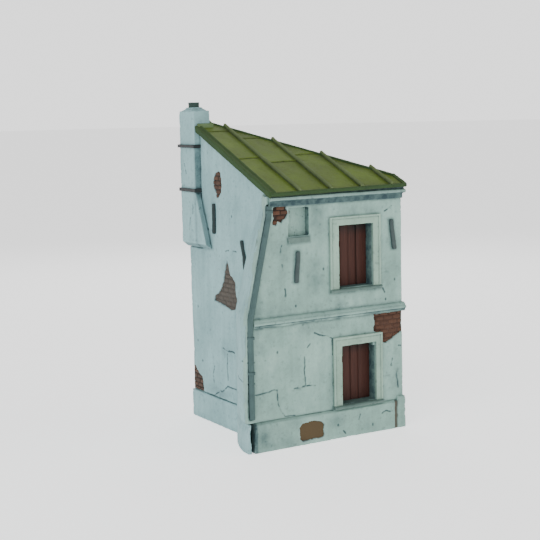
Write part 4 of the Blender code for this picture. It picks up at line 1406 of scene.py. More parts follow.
def cracked(uv, cracks, seed, width=0.22, depth=0.3):
    """Depth and wash of cracks and open joints at points on a wall's face."""
    flat = np.column_stack([uv, np.zeros(len(uv))])
    wander = np.column_stack([noise(flat, 2.4, seed), noise(flat, 2.4, seed + 1)]) * 0.35
    depth_total = np.zeros(len(uv))
    wash = np.zeros(len(uv))
    gaps = np.clip(0.55 + 1.1 * noise(flat, 3.0, seed + 2), 0.12, 1.0)
    for line in cracks:
        distance = line_distance(uv + wander, line)
        depth_total = np.maximum(depth_total, depth * gaps * np.exp(-(distance / width) ** 2))
        wash = np.maximum(wash, gaps * np.exp(-(distance / (1.25 * width)) ** 2))
    return depth_total, wash


def pitted(uv, pits, radius=0.3, depth=0.25):
    """Depth and wash of small pits."""
    depth_total = np.zeros(len(uv))
    for pit in pits:
        reach = np.linalg.norm((uv - np.array(pit)) * (1.0, 0.6), axis=1)
        depth_total = np.maximum(depth_total, np.exp(-(reach / radius) ** 2))
    return depth * depth_total, 0.8 * depth_total


def lost_render(uv, outlines, seed):
    """Depth, rim wash and bareness where the render has come away in ragged patches."""
    flat = np.column_stack([uv, np.zeros(len(uv))])
    ragged = 0.35 * noise(flat, 1.6, seed) + 0.12 * noise(flat, 0.6, seed + 1)
    inside = np.full(len(uv), -9.0)
    for outline in outlines:
        inside = np.maximum(inside, outline_depth(uv, outline) + ragged)
    depth = PATCH_DEPTH * smooth_step(inside, -0.08, 0.22)
    rim = np.exp(-((inside - 0.15) / 0.35) ** 2)
    return depth, 0.35 * rim, smooth_step(inside, 0.05, 0.35)


def stained(uv, stains, seed):
    """Wash in soft stains that run down the wall."""
    flat = np.column_stack([uv, np.zeros(len(uv))])
    broken = np.clip(0.8 + 0.9 * noise(flat, 4.5, seed), 0.1, 1.7)
    total = np.zeros(len(uv))
    for u, v, half_width, half_height, strength in stains:
        reach = ((uv[:, 0] - u) / half_width) ** 2 + ((uv[:, 1] - v) / half_height) ** 2
        total += strength * np.exp(-reach)
    return total * broken


def wall_marks(outward, level, axes, cracks, pits, patches, stains, seed):
    """The marks of one flat wall face, as a carve function.

    outward is the face's normal, level its distance along it, and axes are the u and v directions.
    """
    outward = np.array(outward, float)
    across, upward = (np.array(axis, float) for axis in axes)

    def carve(points, normals):
        facing = smooth_step(normals @ outward, 0.3, 0.75)
        facing = facing * smooth_step(points @ outward, level - 1.6, level - 0.5)
        uv = np.column_stack([points @ across, points @ upward])
        crack_depth, crack_wash = cracked(uv, cracks, seed)
        pit_depth, pit_wash = pitted(uv, pits)
        patch_depth, rim_wash, bare = lost_render(uv, patches, seed + 7) if patches else (0.0, 0.0, 0.0)
        depth = np.maximum(np.maximum(crack_depth, pit_depth), patch_depth) * facing
        wash = (crack_wash + pit_wash + rim_wash + stained(uv, stains, seed + 9)) * facing
        return -outward * depth[:, None], wash, bare * facing * 0.9

    return carve


def wing_side_x(y, z):
    """x of the wing's curved side at a depth and height."""
    edge = read_table(WING_EDGE, z)
    share = np.clip(y / read_table(WING_REACH, z), 0.0, 1.0)
    return edge * (1.0 - share) + 4.0 * WING_BULGE * edge * share * (1.0 - share)


def facade_piece(finish):
    """Facade wall: windows with painted shade in their reveals, blocked window with painted shade on its
    pocket's sides, ragged brick patches, cracks and its swept left edge.
    """
    plugs = [box_mesh("plug", (u0, u1), (0.0, 2.5), (v0, v1)) for u0, u1, v0, v1 in FACADE_PLUGS]
    mesh = even_surface([node_mesh("front_wall")] + plugs, WALL_CELL)
    marks = wall_marks((0, -1, 0), 0.0, ((1, 0, 0), (0, 0, 1)), FACADE_CRACKS, FACADE_PITS,
                       FACADE_PATCHES.values(), FACADE_STAINS, seed=11)

    def carve(points, normals):
        moves, wash, bare = marks(points, normals)
        depth, height = points[:, 1], points[:, 2]
        limit = wing_side_x(depth, height)
        moves[:, 0] += np.clip(limit - points[:, 0], 0.0, 3.0) * (points[:, 0] < -1.0)
        for left, right, bottom, top in (UPPER_WINDOW, LOWER_WINDOW):
            inside = (points[:, 0] > left - REVEAL_MARGIN) & (points[:, 0] < right + REVEAL_MARGIN)
            inside &= (height > bottom - REVEAL_MARGIN) & (height < top + REVEAL_MARGIN) & (depth > 0.3)
            # The window reveals get painted shade, deepest at the back
            reveal_shade = 0.78 + 0.2 * smooth_step(depth, 1.0, WALL_DEPTH)
            wash = wash + reveal_shade * inside * smooth_step(depth, 0.2, 1.2)
        left, right, bottom = BLOCKED_WINDOW
        # The blocked window's pocket sides get painted shade
        blocked = (depth > 0.5) & (points[:, 0] > left) & (points[:, 0] < right) & (height > bottom)
        wash = wash + 0.66 * (blocked & (np.abs(normals[:, 1]) < 0.6))
        return moves, wash, bare

    near = ("string_course", "cornice", "upper_window_surround", "lower_window_surround",
            "upper_window_sill", "lower_window_sill", "blind_window_sill", "wall_anchor_front_left",
            "wall_anchor_front_right", "downpipe", "plinth_front")
    mesh = weathered(mesh, WALL_CELL, seed=3, carve=carve, near=near, near_reach=1.2, contact_wash_and_shade=1.0, keep=0.5)
    finish_piece("facade_render", mesh, finish, "house", ["front_wall"])


def gable_piece(finish):
    """Gable wall, with its brick patches and cracks."""
    plugs = [box_mesh("plug", (0.0, 2.5), (u0, u1), (v0, v1)) for u0, u1, v0, v1 in GABLE_PLUGS]
    mesh = even_surface([node_mesh("left_wall")] + plugs, WALL_CELL)
    marks = wall_marks((-1, 0, 0), 0.0, ((0, 1, 0), (0, 0, 1)), GABLE_CRACKS, GABLE_PITS,
                       GABLE_PATCHES.values(), GABLE_STAINS, seed=41)

    def carve(points, normals):
        moves, wash, bare = marks(points, normals)
        corner = smooth_step(points[:, 1], 64.5, 66.3)
        moves[:, 1] -= corner * (0.7 * np.exp(-((points[:, 2] - 31.0) / 9.0) ** 2))
        moves[:, 1] -= 0.29 * smooth_step(-points[:, 1], -5.6, -5.2)
        return moves, wash, bare

    near = ("chimney_corbel", "wall_anchor_gable_rear", "wall_anchor_gable_front", "plinth_left",
            "chimney_stack")
    mesh = weathered(mesh, WALL_CELL, seed=23, carve=carve, near=near, near_reach=0.9, contact_wash_and_shade=0.6,
                     keep=0.5)
    finish_piece("gable_render", mesh, finish, "house", ["left_wall"])


def rear_piece(finish):
    """Plain diagonal rear wall."""
    slant = math.sqrt(0.5)
    cell = WALL_CELL * 1.15
    marks = wall_marks((slant, slant, 0), 65.0 * slant, ((slant, -slant, 0), (0, 0, 1)),
                       [[(u - REAR_MIDDLE, v) for u, v in line] for line in REAR_CRACKS], (),
                       None, [(u - REAR_MIDDLE, *rest) for u, *rest in REAR_STAINS], seed=61)
    mesh = even_surface([node_mesh("back_wall")], cell)
    mesh = weathered(mesh, cell, seed=37, carve=marks, near=("plinth_back",), near_reach=0.9,
                     contact_wash_and_shade=0.6, keep=0.3)
    finish_piece("rear_render", mesh, finish, "house", ["back_wall"])


def wing_piece(finish):
    """The curved wing that props the facade's left end."""
    rings = []
    for height in np.concatenate([np.linspace(11.0, 50.9, 9), np.linspace(53.0, 95.0, 13)]):
        edge = float(read_table(WING_EDGE, height))
        reach = float(read_table(WING_REACH, height))
        ring = [(0.9, 2.2, height), (edge + 0.12, 2.2, height)]
        for y in np.linspace(2.3, reach, 12):
            ring.append((min(float(wing_side_x(y, height)), -0.02), y, height))
        ring.append((0.9, reach + 0.2, height))
        rings.append(ring)
    mesh = even_surface([loft("wing", rings)], WALL_CELL)
    # A level far behind the face lets the marks follow the whole curve
    marks = wall_marks((-1, 0, 0), -99.0, ((0, 1, 0), (0, 0, 1)), WING_CRACKS, (), None, WING_STAINS,
                       seed=77)

    def carve(points, normals):
        moves, wash, bare = marks(points, normals)
        # The wing's front, in the gap beside the downpipe, gets painted shade
        return moves, wash + 0.75 * smooth_step(-points[:, 1], -3.0, -2.2), bare

    mesh = weathered(mesh, WALL_CELL, seed=51, carve=carve, chips=0.2, near=("plinth_corner", "downpipe"),
                     near_reach=0.8, contact_wash_and_shade=0.5, keep=0.5)
    finish_piece("corner_wing", mesh, finish, "house", ["corner_buttress"])


def plinth_pieces(front_finish, side_finish):
    """The base courses, with the pipe's slot, the cellar vent and the broken joint at the right end."""
    _, high = house_box("plinth_front")
    profile = ((-1.0, 0.0), (WALL_DEPTH, 0.0), (WALL_DEPTH, 11.35), (0.1, 11.35), (-1.0, 10.6))
    rings = []
    for along in (0.0, 1.0):
        lefts = [PLINTH_LEFT + 0.7 * z / PLINTH_TOP for _, z in profile]
        rings.append([(left + along * (high[0] - left), y, z) for left, (y, z) in zip(lefts, profile)])
    end_stone = front_profile("end stone", ((-1.05, 0.0), (3.0, 0.0), (3.0, 12.9), (-0.6, 12.9),
                                            (-1.05, 12.2)), (56.3, high[0] + 0.1))
    mesh = even_surface([loft("plinth", rings), end_stone], WALL_CELL)
    marks = wall_marks((0, -1, 0), 1.0, ((1, 0, 0), (0, 0, 1)), PLINTH_CRACKS, PLINTH_PITS, (VENT_OUTLINE,),
                       PLINTH_STAINS, seed=91)

    def carve(points, normals):
        moves, wash, bare = marks(points, normals)
        wash = wash + 0.2 * smooth_step(-points[:, 0], -22.0, 4.0)
        facing = smooth_step(-normals[:, 1], 0.3, 0.75) * (points[:, 1] < 0.2)
        off_joint = points[:, 0] - BROKEN_JOINT_X - 0.3 * noise(points, 3.0, 5)
        joint = np.exp(-(off_joint / 0.72) ** 4) * facing
        moves[:, 1] = np.maximum(moves[:, 1], 0.55 * joint)
        # The pipe's slot at the left end gets painted shade
        slot = smooth_step(-points[:, 0], 8.4, 9.3)
        return moves, wash + 0.9 * slot + 0.5 * joint, np.maximum(bare, 0.75 * joint)

    mesh = weathered(mesh, WALL_CELL, seed=71, carve=carve, chips=0.45, waves=0.14, keep=0.6)
    finish_piece("plinth_front_course", mesh, front_finish, "house", ["plinth_front"])

    for name, node, seed in (("plinth_corner_stone", "plinth_corner", 73),
                             ("plinth_gable_course", "plinth_left", 75),
                             ("plinth_rear_course", "plinth_back", 79)):
        mesh = even_surface([node_mesh(node)], WALL_CELL)

        def carve_slot(points, normals):
            # Faces inside the pipe's slot get painted shade
            inside = (points[:, 1] < WALL_DEPTH) & (points[:, 0] < -8.0) & (normals[:, 0] > 0.5)
            # Darker towards the bottom
            darker_near_table = 0.2 * np.exp(-(points[:, 2] / 1.6) ** 2)
            moves = np.zeros_like(points)
            if name == "plinth_corner_stone":
                moves[:, 0] = 0.75 * smooth_step(points[:, 2], 7.5, 11.2) * (points[:, 0] < -2.0)
            return moves, 0.9 * inside + darker_near_table, np.zeros(len(points))

        mesh = weathered(mesh, WALL_CELL, seed, carve=carve_slot, chips=0.5, waves=0.14, keep=0.5)
        finish_piece(name, mesh, side_finish, "house", [node])


def moulding_pieces(settings, finish):
    """String course, cornice and the blocked window's panel and sill."""
    profiles = {
        "string_course": ((0.6, 47.0), (-0.75, 47.2), (-1.15, 47.7), (-1.2, 48.2), (-1.75, 48.45),
                          (-1.75, 49.05), (-1.3, 49.5), (-1.15, 49.9), (-0.5, 50.5), (0.6, 50.8)),
        "cornice": ((0.6, 93.9), (-0.9, 94.0), (-1.75, 94.25), (-1.85, 94.9), (-1.7, 95.4), (-0.6, 95.7),
                    (-0.4, 96.4), (0.6, 96.6)),
    }
    frieze_profile = ((0.6, 91.9), (-0.75, 92.0), (-0.85, 94.2), (0.6, 94.2))
    ends = {"string_course": (-9.4, 60.4), "cornice": (-1.2, 60.6)}

    def frieze(points, normals):
        # The frieze band under the nose is darkened, partly its own dark paint and partly painted shade; the
        # top, under the roof's eave, gets painted shadow; the whole cornice is a little darkened
        band = smooth_step(-points[:, 2], -94.5, -94.1) * smooth_step(-normals[:, 1], 0.0, 0.4)
        back = smooth_step(points[:, 2], 95.6, 95.9)
        broken = 0.95 + 0.12 * noise(points, 5.0, 8)
        wash = band * broken + 0.95 * back + 0.34 * broken
        return np.zeros_like(points), wash, np.zeros(len(points))

    def underside(points, normals):
        # Down-facing faces and the groove under the nose get painted shade
        below = smooth_step(-normals[:, 2], 0.25, 0.8) + 0.7 * np.exp(-((points[:, 2] - 47.9) / 0.35) ** 2)
        patchy = np.clip(0.55 + 0.7 * noise(points, 6.0, 9), 0.0, 1.2)
        return np.zeros_like(points), below * patchy + 0.08, np.zeros(len(points))

    marks = {"string_course": underside, "cornice": frieze}
    for name, profile in profiles.items():
        parts = [front_profile(name, profile, ends[name])]
        if name == "cornice":
            parts.append(front_profile("frieze", frieze_profile, (-1.2, 59.6)))
        mesh = even_surface(parts, FINE_CELL)
        mesh = weathered(mesh, FINE_CELL, seed=101, waves=0.1, chips=0.4, carve=marks[name],
                         near=("front_wall",), near_reach=0.8, contact_wash_and_shade=0.6, keep=0.6)
        finish_piece(f"{name}_moulding", mesh, finish, "house", [name])

    low, high = house_box("blind_window_sill")
    stock = box_mesh("sill", (low[0], high[0]), (-0.75, 0.8), (low[2], high[2]))
    mesh = even_surface([stock], FINE_CELL)
    # The sill's dark paint is built on the facade's darker copy of the render, which holds painted shade
    dark = render_finish(settings, "dark sill render", share=0.42, facade=True)
    mesh = weathered(mesh, FINE_CELL, seed=107, waves=0.08, chips=0.3, near=("front_wall",), near_reach=0.7)
    finish_piece("blocked_window_sill", mesh, dark, "house", ["blind_window_sill"])

    low, high = house_box("blind_window_panel")
    stock = box_mesh("panel", (low[0] - 0.6, high[0] + 0.6), (low[1], high[1] + 0.6),
                     (low[2] - 0.6, high[2] + 0.6))
    mesh = even_surface([stock], FINE_CELL)

    def stippled(points, normals):
        specks = smooth_step(noise(points, 0.7, 15), 0.45, 0.9)
        return -normals * (0.08 * specks)[:, None], 0.22 * specks, np.zeros(len(points))

    mesh = weathered(mesh, FINE_CELL, seed=109, waves=0.1, hollow_wash_and_shade=0.5, carve=stippled, keep=0.6)
    finish_piece("blocked_window_panel", mesh, finish, "house", ["blind_window_panel"])


def window_frame(opening, surround):
    """Stock for a raised surround: a flat band with a bead round its outer edge."""
    left, right, bottom, top = opening
    (outer_left, _, _), (outer_right, _, outer_top) = surround
    band, bead = (-BAND_PROUD, 0.8), (-BEAD_PROUD, 0.5)
    jamb_height, bead_height = (bottom - 0.3, outer_top), (bottom, outer_top + 0.1)
    parts = [box_mesh("jamb", (outer_left, left), band, jamb_height),
             box_mesh("jamb", (right, outer_right), band, jamb_height),
             box_mesh("lintel", (outer_left, outer_right), band, (top, outer_top)),
             box_mesh("bead", (outer_left - 0.1, outer_left + BEAD_WIDTH), bead, bead_height),
             box_mesh("bead", (outer_right - BEAD_WIDTH, outer_right + 0.1), bead, bead_height),
             box_mesh("bead", (outer_left - 0.1, outer_right + 0.1), bead,
                      (outer_top - BEAD_WIDTH, outer_top + 0.1))]
    return even_surface(parts, FINE_CELL)


def sill_profile(bottom, back, rise):
    """A sill's section as (y, z), from the back of its underside round its nose."""
    return ((back, bottom), (-1.3, bottom), (-1.75, bottom + 0.35), (-1.75, bottom + 0.9),
            (-1.4, bottom + 1.3), (back, bottom + rise))


def window_pieces(settings, finish):
    """Surrounds and sills of both windows."""
    # The sills' dark paint is built on the facade's darker copy of the render, which holds painted shade
    sill_finish = render_finish(settings, "dark sill render", share=0.42, facade=True)
    for label, opening, seed in (("upper", UPPER_WINDOW, 121), ("lower", LOWER_WINDOW, 131)):
        node = f"{label}_window_surround"
        mesh = window_frame(opening, house_box(node))
        mesh = weathered(mesh, FINE_CELL, seed, waves=0.07, chips=0.32, near=("front_wall",),
                         near_reach=0.5, contact_wash_and_shade=0.5, hollow_wash_and_shade=0.6, keep=0.6)
        finish_piece(f"{label}_window_frame", mesh, finish, "house", [node])
        node = f"{label}_window_sill"
        low, high = house_box(node)
        nose = front_profile("sill", sill_profile(low[2], 4.9, 1.65), (opening[0] - 0.2, opening[1] + 0.2))
        wide = front_profile("sill", sill_profile(low[2], 0.6, 1.5), (low[0], high[0]))
        mesh = even_surface([nose, wide], FINE_CELL)
        mesh = weathered(mesh, FINE_CELL, seed + 3, waves=0.09, chips=0.45, near=("front_wall",),
                         near_reach=0.6, contact_wash_and_shade=0.6, keep=0.6)
        finish_piece(f"{label}_sill_stone", mesh, sill_finish, "house", [node])


def shutter_pieces(finish):
    """The closed boards behind each window opening."""
    tree = tree_named("Boards", board_tree)
    for label, opening, edges, seed in (("upper", UPPER_WINDOW, UPPER_BOARDS, 5),
                                        ("lower", LOWER_WINDOW, LOWER_BOARDS, 8)):
        bottom, top = opening[2] - 1.0, opening[3] + 1.0
        section = ((-0.5, 0.42), (-0.465, 0.06), (-0.25, 0.0), (0.0, -0.02), (0.25, 0.0), (0.465, 0.06),
                   (0.5, 0.42), (0.5, BOARD_THICKNESS), (0.0, BOARD_THICKNESS), (-0.5, BOARD_THICKNESS))
        rings = [[(x, y, z) for x, y in section] for z in np.linspace(bottom, top, 60)]
        board = loft("board", rings)
        board.transform(Matrix.Translation([-value for value in CORNER]))
        stock = linked("stock", board)
        middles = [((a + b) / 2, BOARD_FACE, 0.0) for a, b in zip(edges, edges[1:])]
        places = line_mesh("places", [[middle] for middle in middles])
        store(places, "width", np.array([b - a + 0.02 for a, b in zip(edges, edges[1:])]))
        mesh = run_tree(places, tree, {"Board": stock, "Grain depth": 0.12 * MM, "Seed": seed,
                                       "Finish": finish})
        bpy.data.objects.remove(stock)
        points = points_of(mesh)
        # Under the window's head the boards darken: soot and painted shadow from the head
        head = smooth_step(points[:, 2], opening[3] - 5.5, opening[3] - 0.5)
        foot = 0.35 * smooth_step(-points[:, 2], -opening[2] - 1.6, -opening[2])
        sides = 0.9 * smooth_step(points[:, 1], BOARD_FACE + 0.22, BOARD_FACE + 0.45)
        mottle = 0.8 + 0.4 * noise(points, 2.5, seed)
        store(mesh, "wash", np.clip((0.75 * head + foot) * mottle + sides + 0.12, 0.0, 1.0))
        planks = [f"{label}_shutter_plank_{index + 1}" for index in range(len(middles))]
        finish_piece(f"{label}_shutter_boards", mesh, finish, "house", planks)


def brick_shape():
    """One worn brick, centred on its face."""
    length, course = BRICK_SIZE
    half_length, half_height = length / 2 - 0.16, course / 2 - 0.14
    shape = bmesh.new()
    bmesh.ops.create_cube(shape, size=1.0)
    bmesh.ops.scale(shape, vec=(2 * half_length, 0.9, 2 * half_height), verts=shape.verts)
    bmesh.ops.subdivide_edges(shape, edges=[edge for edge in shape.edges
                                            if abs(edge.verts[0].co.x - edge.verts[1].co.x) > 1.0],
                              cuts=2, use_grid_fill=True)
    sharp = [edge for edge in shape.edges if edge.calc_face_angle(0.0) > 0.5]
    bmesh.ops.bevel(shape, geom=sharp, offset=0.16, segments=1, profile=0.6, affect="EDGES")
    bmesh.ops.translate(shape, vec=(0.0, 0.45, 0.0), verts=shape.verts)
    bmesh.ops.scale(shape, vec=(MM, MM, MM), verts=shape.verts)
    mesh = bpy.data.meshes.new("brick")
    shape.to_mesh(mesh)
    shape.free()
    return mesh


def brick_pieces(settings, finish):
    """Brickwork in each place where the render is lost."""
    tree = tree_named("Brick courses", brick_course_tree)
    stock = linked("stock", brick_shape())
    patches = {**{name: (outline, False) for name, outline in FACADE_PATCHES.items()},
               **{name: (outline, True) for name, outline in GABLE_PATCHES.items()}}
    limits = {"brick_patch_facade_corner": (0.4, 58.0, 12.0, 92.6),
              "brick_patch_facade_right": (0.0, 59.2, 12.0, 92.0),
              "brick_patch_gable_foot": (50.0, 66.3, 11.7, 40.0)}
    for seed, (name, (outline, on_gable)) in enumerate(patches.items()):
        middle = np.mean(outline, axis=0)
        away = np.array(outline) - middle
        grown = middle + away * (1.0 + BRICK_BURIED / np.linalg.norm(away, axis=1, keepdims=True))
        bed = loft("bed", [[(u, depth, v) for u, v in grown] for depth in (BED_FRONT, BED_BACK)])
        mesh = run_tree(bed, tree, {"Brick": stock, "Length": BRICK_SIZE[0] * MM, "Seed": seed + 4,
                                    "Course": BRICK_SIZE[1] * MM, "Unevenness": 0.16 * MM,
                                    "Finish": finish})
        points = points_of(mesh)
        proud = SMOOTH_PATCHES.get(name, BRICKS_PROUD) * (tones_of(mesh) > MORTAR_TONE)
        points[:, 1] = np.where(points[:, 1] < BED_BACK, points[:, 1] - proud, BED_BACK)
        low_u, high_u, low_v, high_v = limits.get(name, (0.0, 99.0, 0.0, 130.0))
        points[:, 0] = np.clip(points[:, 0], low_u, high_u)
        points[:, 2] = np.clip(points[:, 2], low_v, high_v)
        if on_gable:
            points = points[:, [1, 0, 2]]
            mesh.flip_normals()
        move_points(mesh, points)
        if name in SMOOTH_PATCHES:
            tones = tones_of(mesh)
            store(mesh, "tone", np.where(tones < MORTAR_TONE, 0.0, 0.75 * tones))
        store_level(mesh, "dust", BRICK_DUST[name])
        finish_piece(f"{name}_courses", mesh, finish, "house", [name])
    bpy.data.objects.remove(stock)

    low, high = house_box("cellar_vent_panel")
    stock = box_mesh("panel", (low[0] - 0.7, high[0] + 0.7), (-0.55, 0.6), (low[2] - 0.5, high[2] + 0.9))
    mesh = even_surface([stock], FINE_CELL)
    mesh = weathered(mesh, FINE_CELL, seed=141, waves=0.1, grain=0.05, keep=0.5)
    store_level(mesh, "dust", 0.12)
    store(mesh, "tone", 0.45 + 0.12 * noise(points_of(mesh), 3.0, 6))
    panel_finish = finish_named("cellar vent clay", lambda made: old_brick(made, (
        settings.vent_colour, dimmed(settings.vent_colour, 0.8),
        settings.mortar_colour, settings.brick_dust_colour)))
    finish_piece("cellar_vent_cover", mesh, panel_finish, "house", ["cellar_vent_panel"])


def iron_bar(line, half_width, on_gable):
    """Stock for a wrought bar along a line on a wall's face, with rounded ends."""
    (first_u, first_v), (last_u, last_v) = line[0], line[-1]
    stations = [(first_u, first_v + 0.5, 0.72), *[(u, v, 1.0) for u, v in line],
                (last_u, last_v - 0.5, 0.72)]
    turns = [math.pi * step / (BAR_STEPS - 1) for step in range(BAR_STEPS)]
    rings = []
    for u, v, share in stations:
        half = half_width * share
        ring = [(-half * math.cos(turn), -BAR_PROUD * math.sin(turn) ** 0.5) for turn in turns]
        ring += [(half, 0.6), (-half, 0.6)]
        rings.append([(out, u + across, v) if on_gable else (u + across, out, v) for across, out in ring])
    return loft("bar", rings)


def anchor_pieces(settings, finish):
    """The four wall anchors."""
    bars = {
        "wall_anchor_front_left": (((11.0, 74.2), (10.9, 71.0), (10.4, 67.5), (10.1, 63.2)), 0.95, False),
        "wall_anchor_front_right": (((54.4, 83.4), (54.7, 80.0), (55.3, 76.0), (55.8, 72.5)), 1.0, False),
        "wall_anchor_gable_rear": (((44.4, 90.2), (44.4, 86.0), (44.7, 79.2)), 1.1, True),
        "wall_anchor_gable_front": (((22.4, 77.2), (21.9, 74.6), (20.7, 71.4), (20.5, 67.0)), 0.95, True),
    }
    sheltered = metal_finish("sheltered iron", settings.iron_shade, dimmed(settings.iron_shade, 0.5),
                             settings.wash_and_shade_colour, settings.iron_colour, roughness=0.85)
    for index, (node, (line, half_width, on_gable)) in enumerate(bars.items()):
        mesh = even_surface([iron_bar(line, half_width, on_gable)], FINE_CELL)
        mesh = weathered(mesh, FINE_CELL, seed=151 + index, waves=0.1, grain=0.05, chips=0.25,
                         near=("front_wall", "left_wall"), near_reach=0.8, contact_wash_and_shade=0.9)
        store_level(mesh, "tone", 0.0)
        finish_piece(node.replace("wall_anchor", "anchor_bar"), mesh, sheltered if on_gable else finish,
                     "house", [node])


def chimney_pieces(settings, finish):
    """Corbel, stack, mortar bed and pot."""

    def in_shade(points, normals):
        front = smooth_step(-normals[:, 1], 0.35, 0.8)
        left = points[:, 0] < 0.4
        below = smooth_step(-points[:, 2], -113.5, -109.5)
        streak = 0.85 + 0.25 * noise(points, 4.0, 3)
        under = smooth_step(-normals[:, 2], 0.3, 0.8) * (points[:, 2] < 76.0)
        beside = 0.35 * np.exp(-((points[:, 1] - 55.1) / 0.8) ** 2) * (points[:, 2] < 113.0)
        wash = (0.36 + 0.16 * (points[:, 2] < 95.0)) * front * left * below * streak
        wash = wash + 0.5 * under + beside * left
        crack_depth, crack_wash = cracked(points[:, [1, 2]], CHIMNEY_CRACKS, seed=31)
        facing = smooth_step(-normals[:, 0], 0.5, 0.8)
        moves = np.zeros_like(points)
        moves[:, 0] = crack_depth * facing
        return moves, wash + 0.8 * crack_wash * facing, np.zeros(len(points))

    for name, node, seed in (("chimney_corbel_render", "chimney_corbel", 161),
                             ("chimney_stack_render", "chimney_stack", 171)):
        mesh = even_surface([node_mesh(node)], WALL_CELL)
        mesh = weathered(mesh, WALL_CELL, seed, carve=in_shade, chips=0.3, waves=0.14,
                         near=("chimney_strap_lower", "chimney_strap_upper", "left_wall"),
                         near_reach=0.8, contact_wash_and_shade=0.45, keep=0.5)
        finish_piece(name, mesh, finish, "house", [node])

    low, high = house_box("chimney_flaunching")
    middle_x, middle_y = (low[0] + high[0]) / 2, (low[1] + high[1]) / 2
    rings = [[(middle_x + (high[0] - middle_x) * a * size, middle_y + (high[1] - middle_y) * b * size_y, z)
              for a, b in ((-1, -1), (1, -1), (1, 1), (-1, 1))]
             for size, size_y, z in ((1.0, 1.0, low[2] - 0.7), (1.0, 1.0, low[2] - 0.1),
                                     (0.8, 0.66, high[2] - 0.15), (0.7, 0.52, high[2] + 0.45))]
    mesh = even_surface([loft("mortar", rings)], FINE_CELL)
    mesh = weathered(mesh, FINE_CELL, seed=181, waves=0.15, grain=0.06, keep=0.6)
    finish_piece("chimney_mortar_bed", mesh, finish, "house", ["chimney_flaunching"])

    pot_low, pot_high = house_box("chimney_pot")
    top = pot_high[2]
    sides = ((POT_RADIUS, pot_low[2] - 0.5), (POT_RADIUS, top - 0.6), (2.28, top - 0.5), (2.28, top - 0.1),
             (2.18, top), (1.62, top), (POT_BORE, top - 0.12), (POT_BORE, top - 1.7))
    rings = [circle((middle_x, middle_y), radius, z, 40) for radius, z in sides]
    pot_finish = metal_finish("sooty pot", settings.pot_colour, dimmed(settings.pot_colour, 0.6),
                              settings.soot_and_shade_colour, settings.iron_edge, roughness=0.8, mottle=0.7,
                              patch_scale=500.0)
    mesh = weathered(even_surface([loft("pot", rings)], FINE_CELL), FINE_CELL, 191, waves=0.06,
                     chips=0.15, keep=0.7)
    store_level(mesh, "tone", 0.0)
    finish_piece("chimney_pot_clay", mesh, pot_finish, "house", ["chimney_pot"])


def strap_pieces(finish):
    """Iron straps round the chimney's three free sides."""
    (stack_left, stack_front, _), (_, stack_back, _) = house_box("chimney_stack")
    left, front, back = stack_left - STRAP_PROUD, stack_front - STRAP_PROUD, stack_back + STRAP_PROUD
    for name in ("chimney_strap_lower", "chimney_strap_upper"):
        low, high = house_box(name)
        height = (low[2], high[2])
        parts = [box_mesh("band", (left, stack_left + 0.4), (front, back), height),
                 box_mesh("band", (left, 0.2), (front, stack_front + 0.4), height),
                 box_mesh("band", (left, 4.7), (stack_back - 0.4, back), height)]
        mesh = even_surface(parts, FINE_CELL)
        mesh = weathered(mesh, FINE_CELL, seed=201, waves=0.1, grain=0.04, chips=0.15,
                         near=("chimney_stack", "chimney_corbel"), near_reach=0.6, contact_wash_and_shade=0.5, keep=0.7)
        store_level(mesh, "tone", -0.6)
        finish_piece(name.replace("chimney_strap", "strap_band"), mesh, finish, "house", [name])


def pipe_pieces(finish):
    """Downpipe down the facade's swept edge, and its collars."""
    line = [(x, PIPE_Y, z) for x, z in PIPE_LINE]
    mesh = swept([line], finish, width=2 * PIPE_RADIUS, height=2 * PIPE_RADIUS, rounding=0.97 * PIPE_RADIUS,
                 bend_radius=9.0, step=0.45, unevenness=0.12)
    # The pipe darkens where it lies against the facade: painted shade in the gap
    wash_and_shade_by(mesh, 0.45, near=("front_wall",), reach=1.5, strength=1.1)
    finish_piece("downpipe_tube", mesh, finish, "house", ["downpipe"])
    for name in ("pipe_collar_top", "pipe_collar_middle", "pipe_collar_bottom"):
        low, high = house_box(name)
        middle = (low[0] + high[0]) / 2
        radius = PIPE_RADIUS + COLLAR_PROUD
        rings = [circle((middle, PIPE_Y), radius + extra, z, 32)
                 for z, extra in ((low[2], -0.12), (low[2] + 0.15, 0.0), (high[2] - 0.15, 0.0),
                                  (high[2], -0.12))]
        mesh = even_surface([loft(name, rings)], FINE_CELL)
        mesh = weathered(mesh, FINE_CELL, seed=211, waves=0.05, chips=0.2, near=("front_wall", "downpipe"),
                         near_reach=0.7, contact_wash_and_shade=0.5)
        store_level(mesh, "tone", 0.0)
        finish_piece(name.replace("pipe_collar", "collar_ring"), mesh, finish, "house", [name])


def roof_height(x, y, offset=0.0):
    """Height of the sheet at a place, raised by an offset."""
    return ROOF_HEIGHT + ROOF_PITCH * y + ROOF_LEAN * x + offset


def on_roof(x, y, offset=0.0):
    """A place on the sheet, raised by an offset."""
    return x, y, roof_height(x, y, offset)


def sheet_at(x, y):
    """Which bay and which sheet of it a place is on, and how far the sheet stands up there."""
    bay = np.searchsorted(SEAM_X, x)
    sheet = np.zeros(len(x), int)
    lift = np.zeros(len(x))
    for index, laps in enumerate(LAPS):
        edges = (-3.0, *laps, 70.0)
        for number, (start, end) in enumerate(zip(edges, edges[1:])):
            here = (bay == index) & (y >= start) & (y < end)
            sheet[here] = number
            lift[here] = LAP_STEP * (1.0 - (y[here] - start) / (end - start)) if number else 0.0
    return bay, sheet, lift


def sheet_tone(points):
    """A tone for each sheet, from -1 to 1."""
    bay, sheet, _ = sheet_at(points[:, 0], points[:, 1])
    return np.array(SHEET_TONES)[(bay * 3 + sheet) % len(SHEET_TONES)]


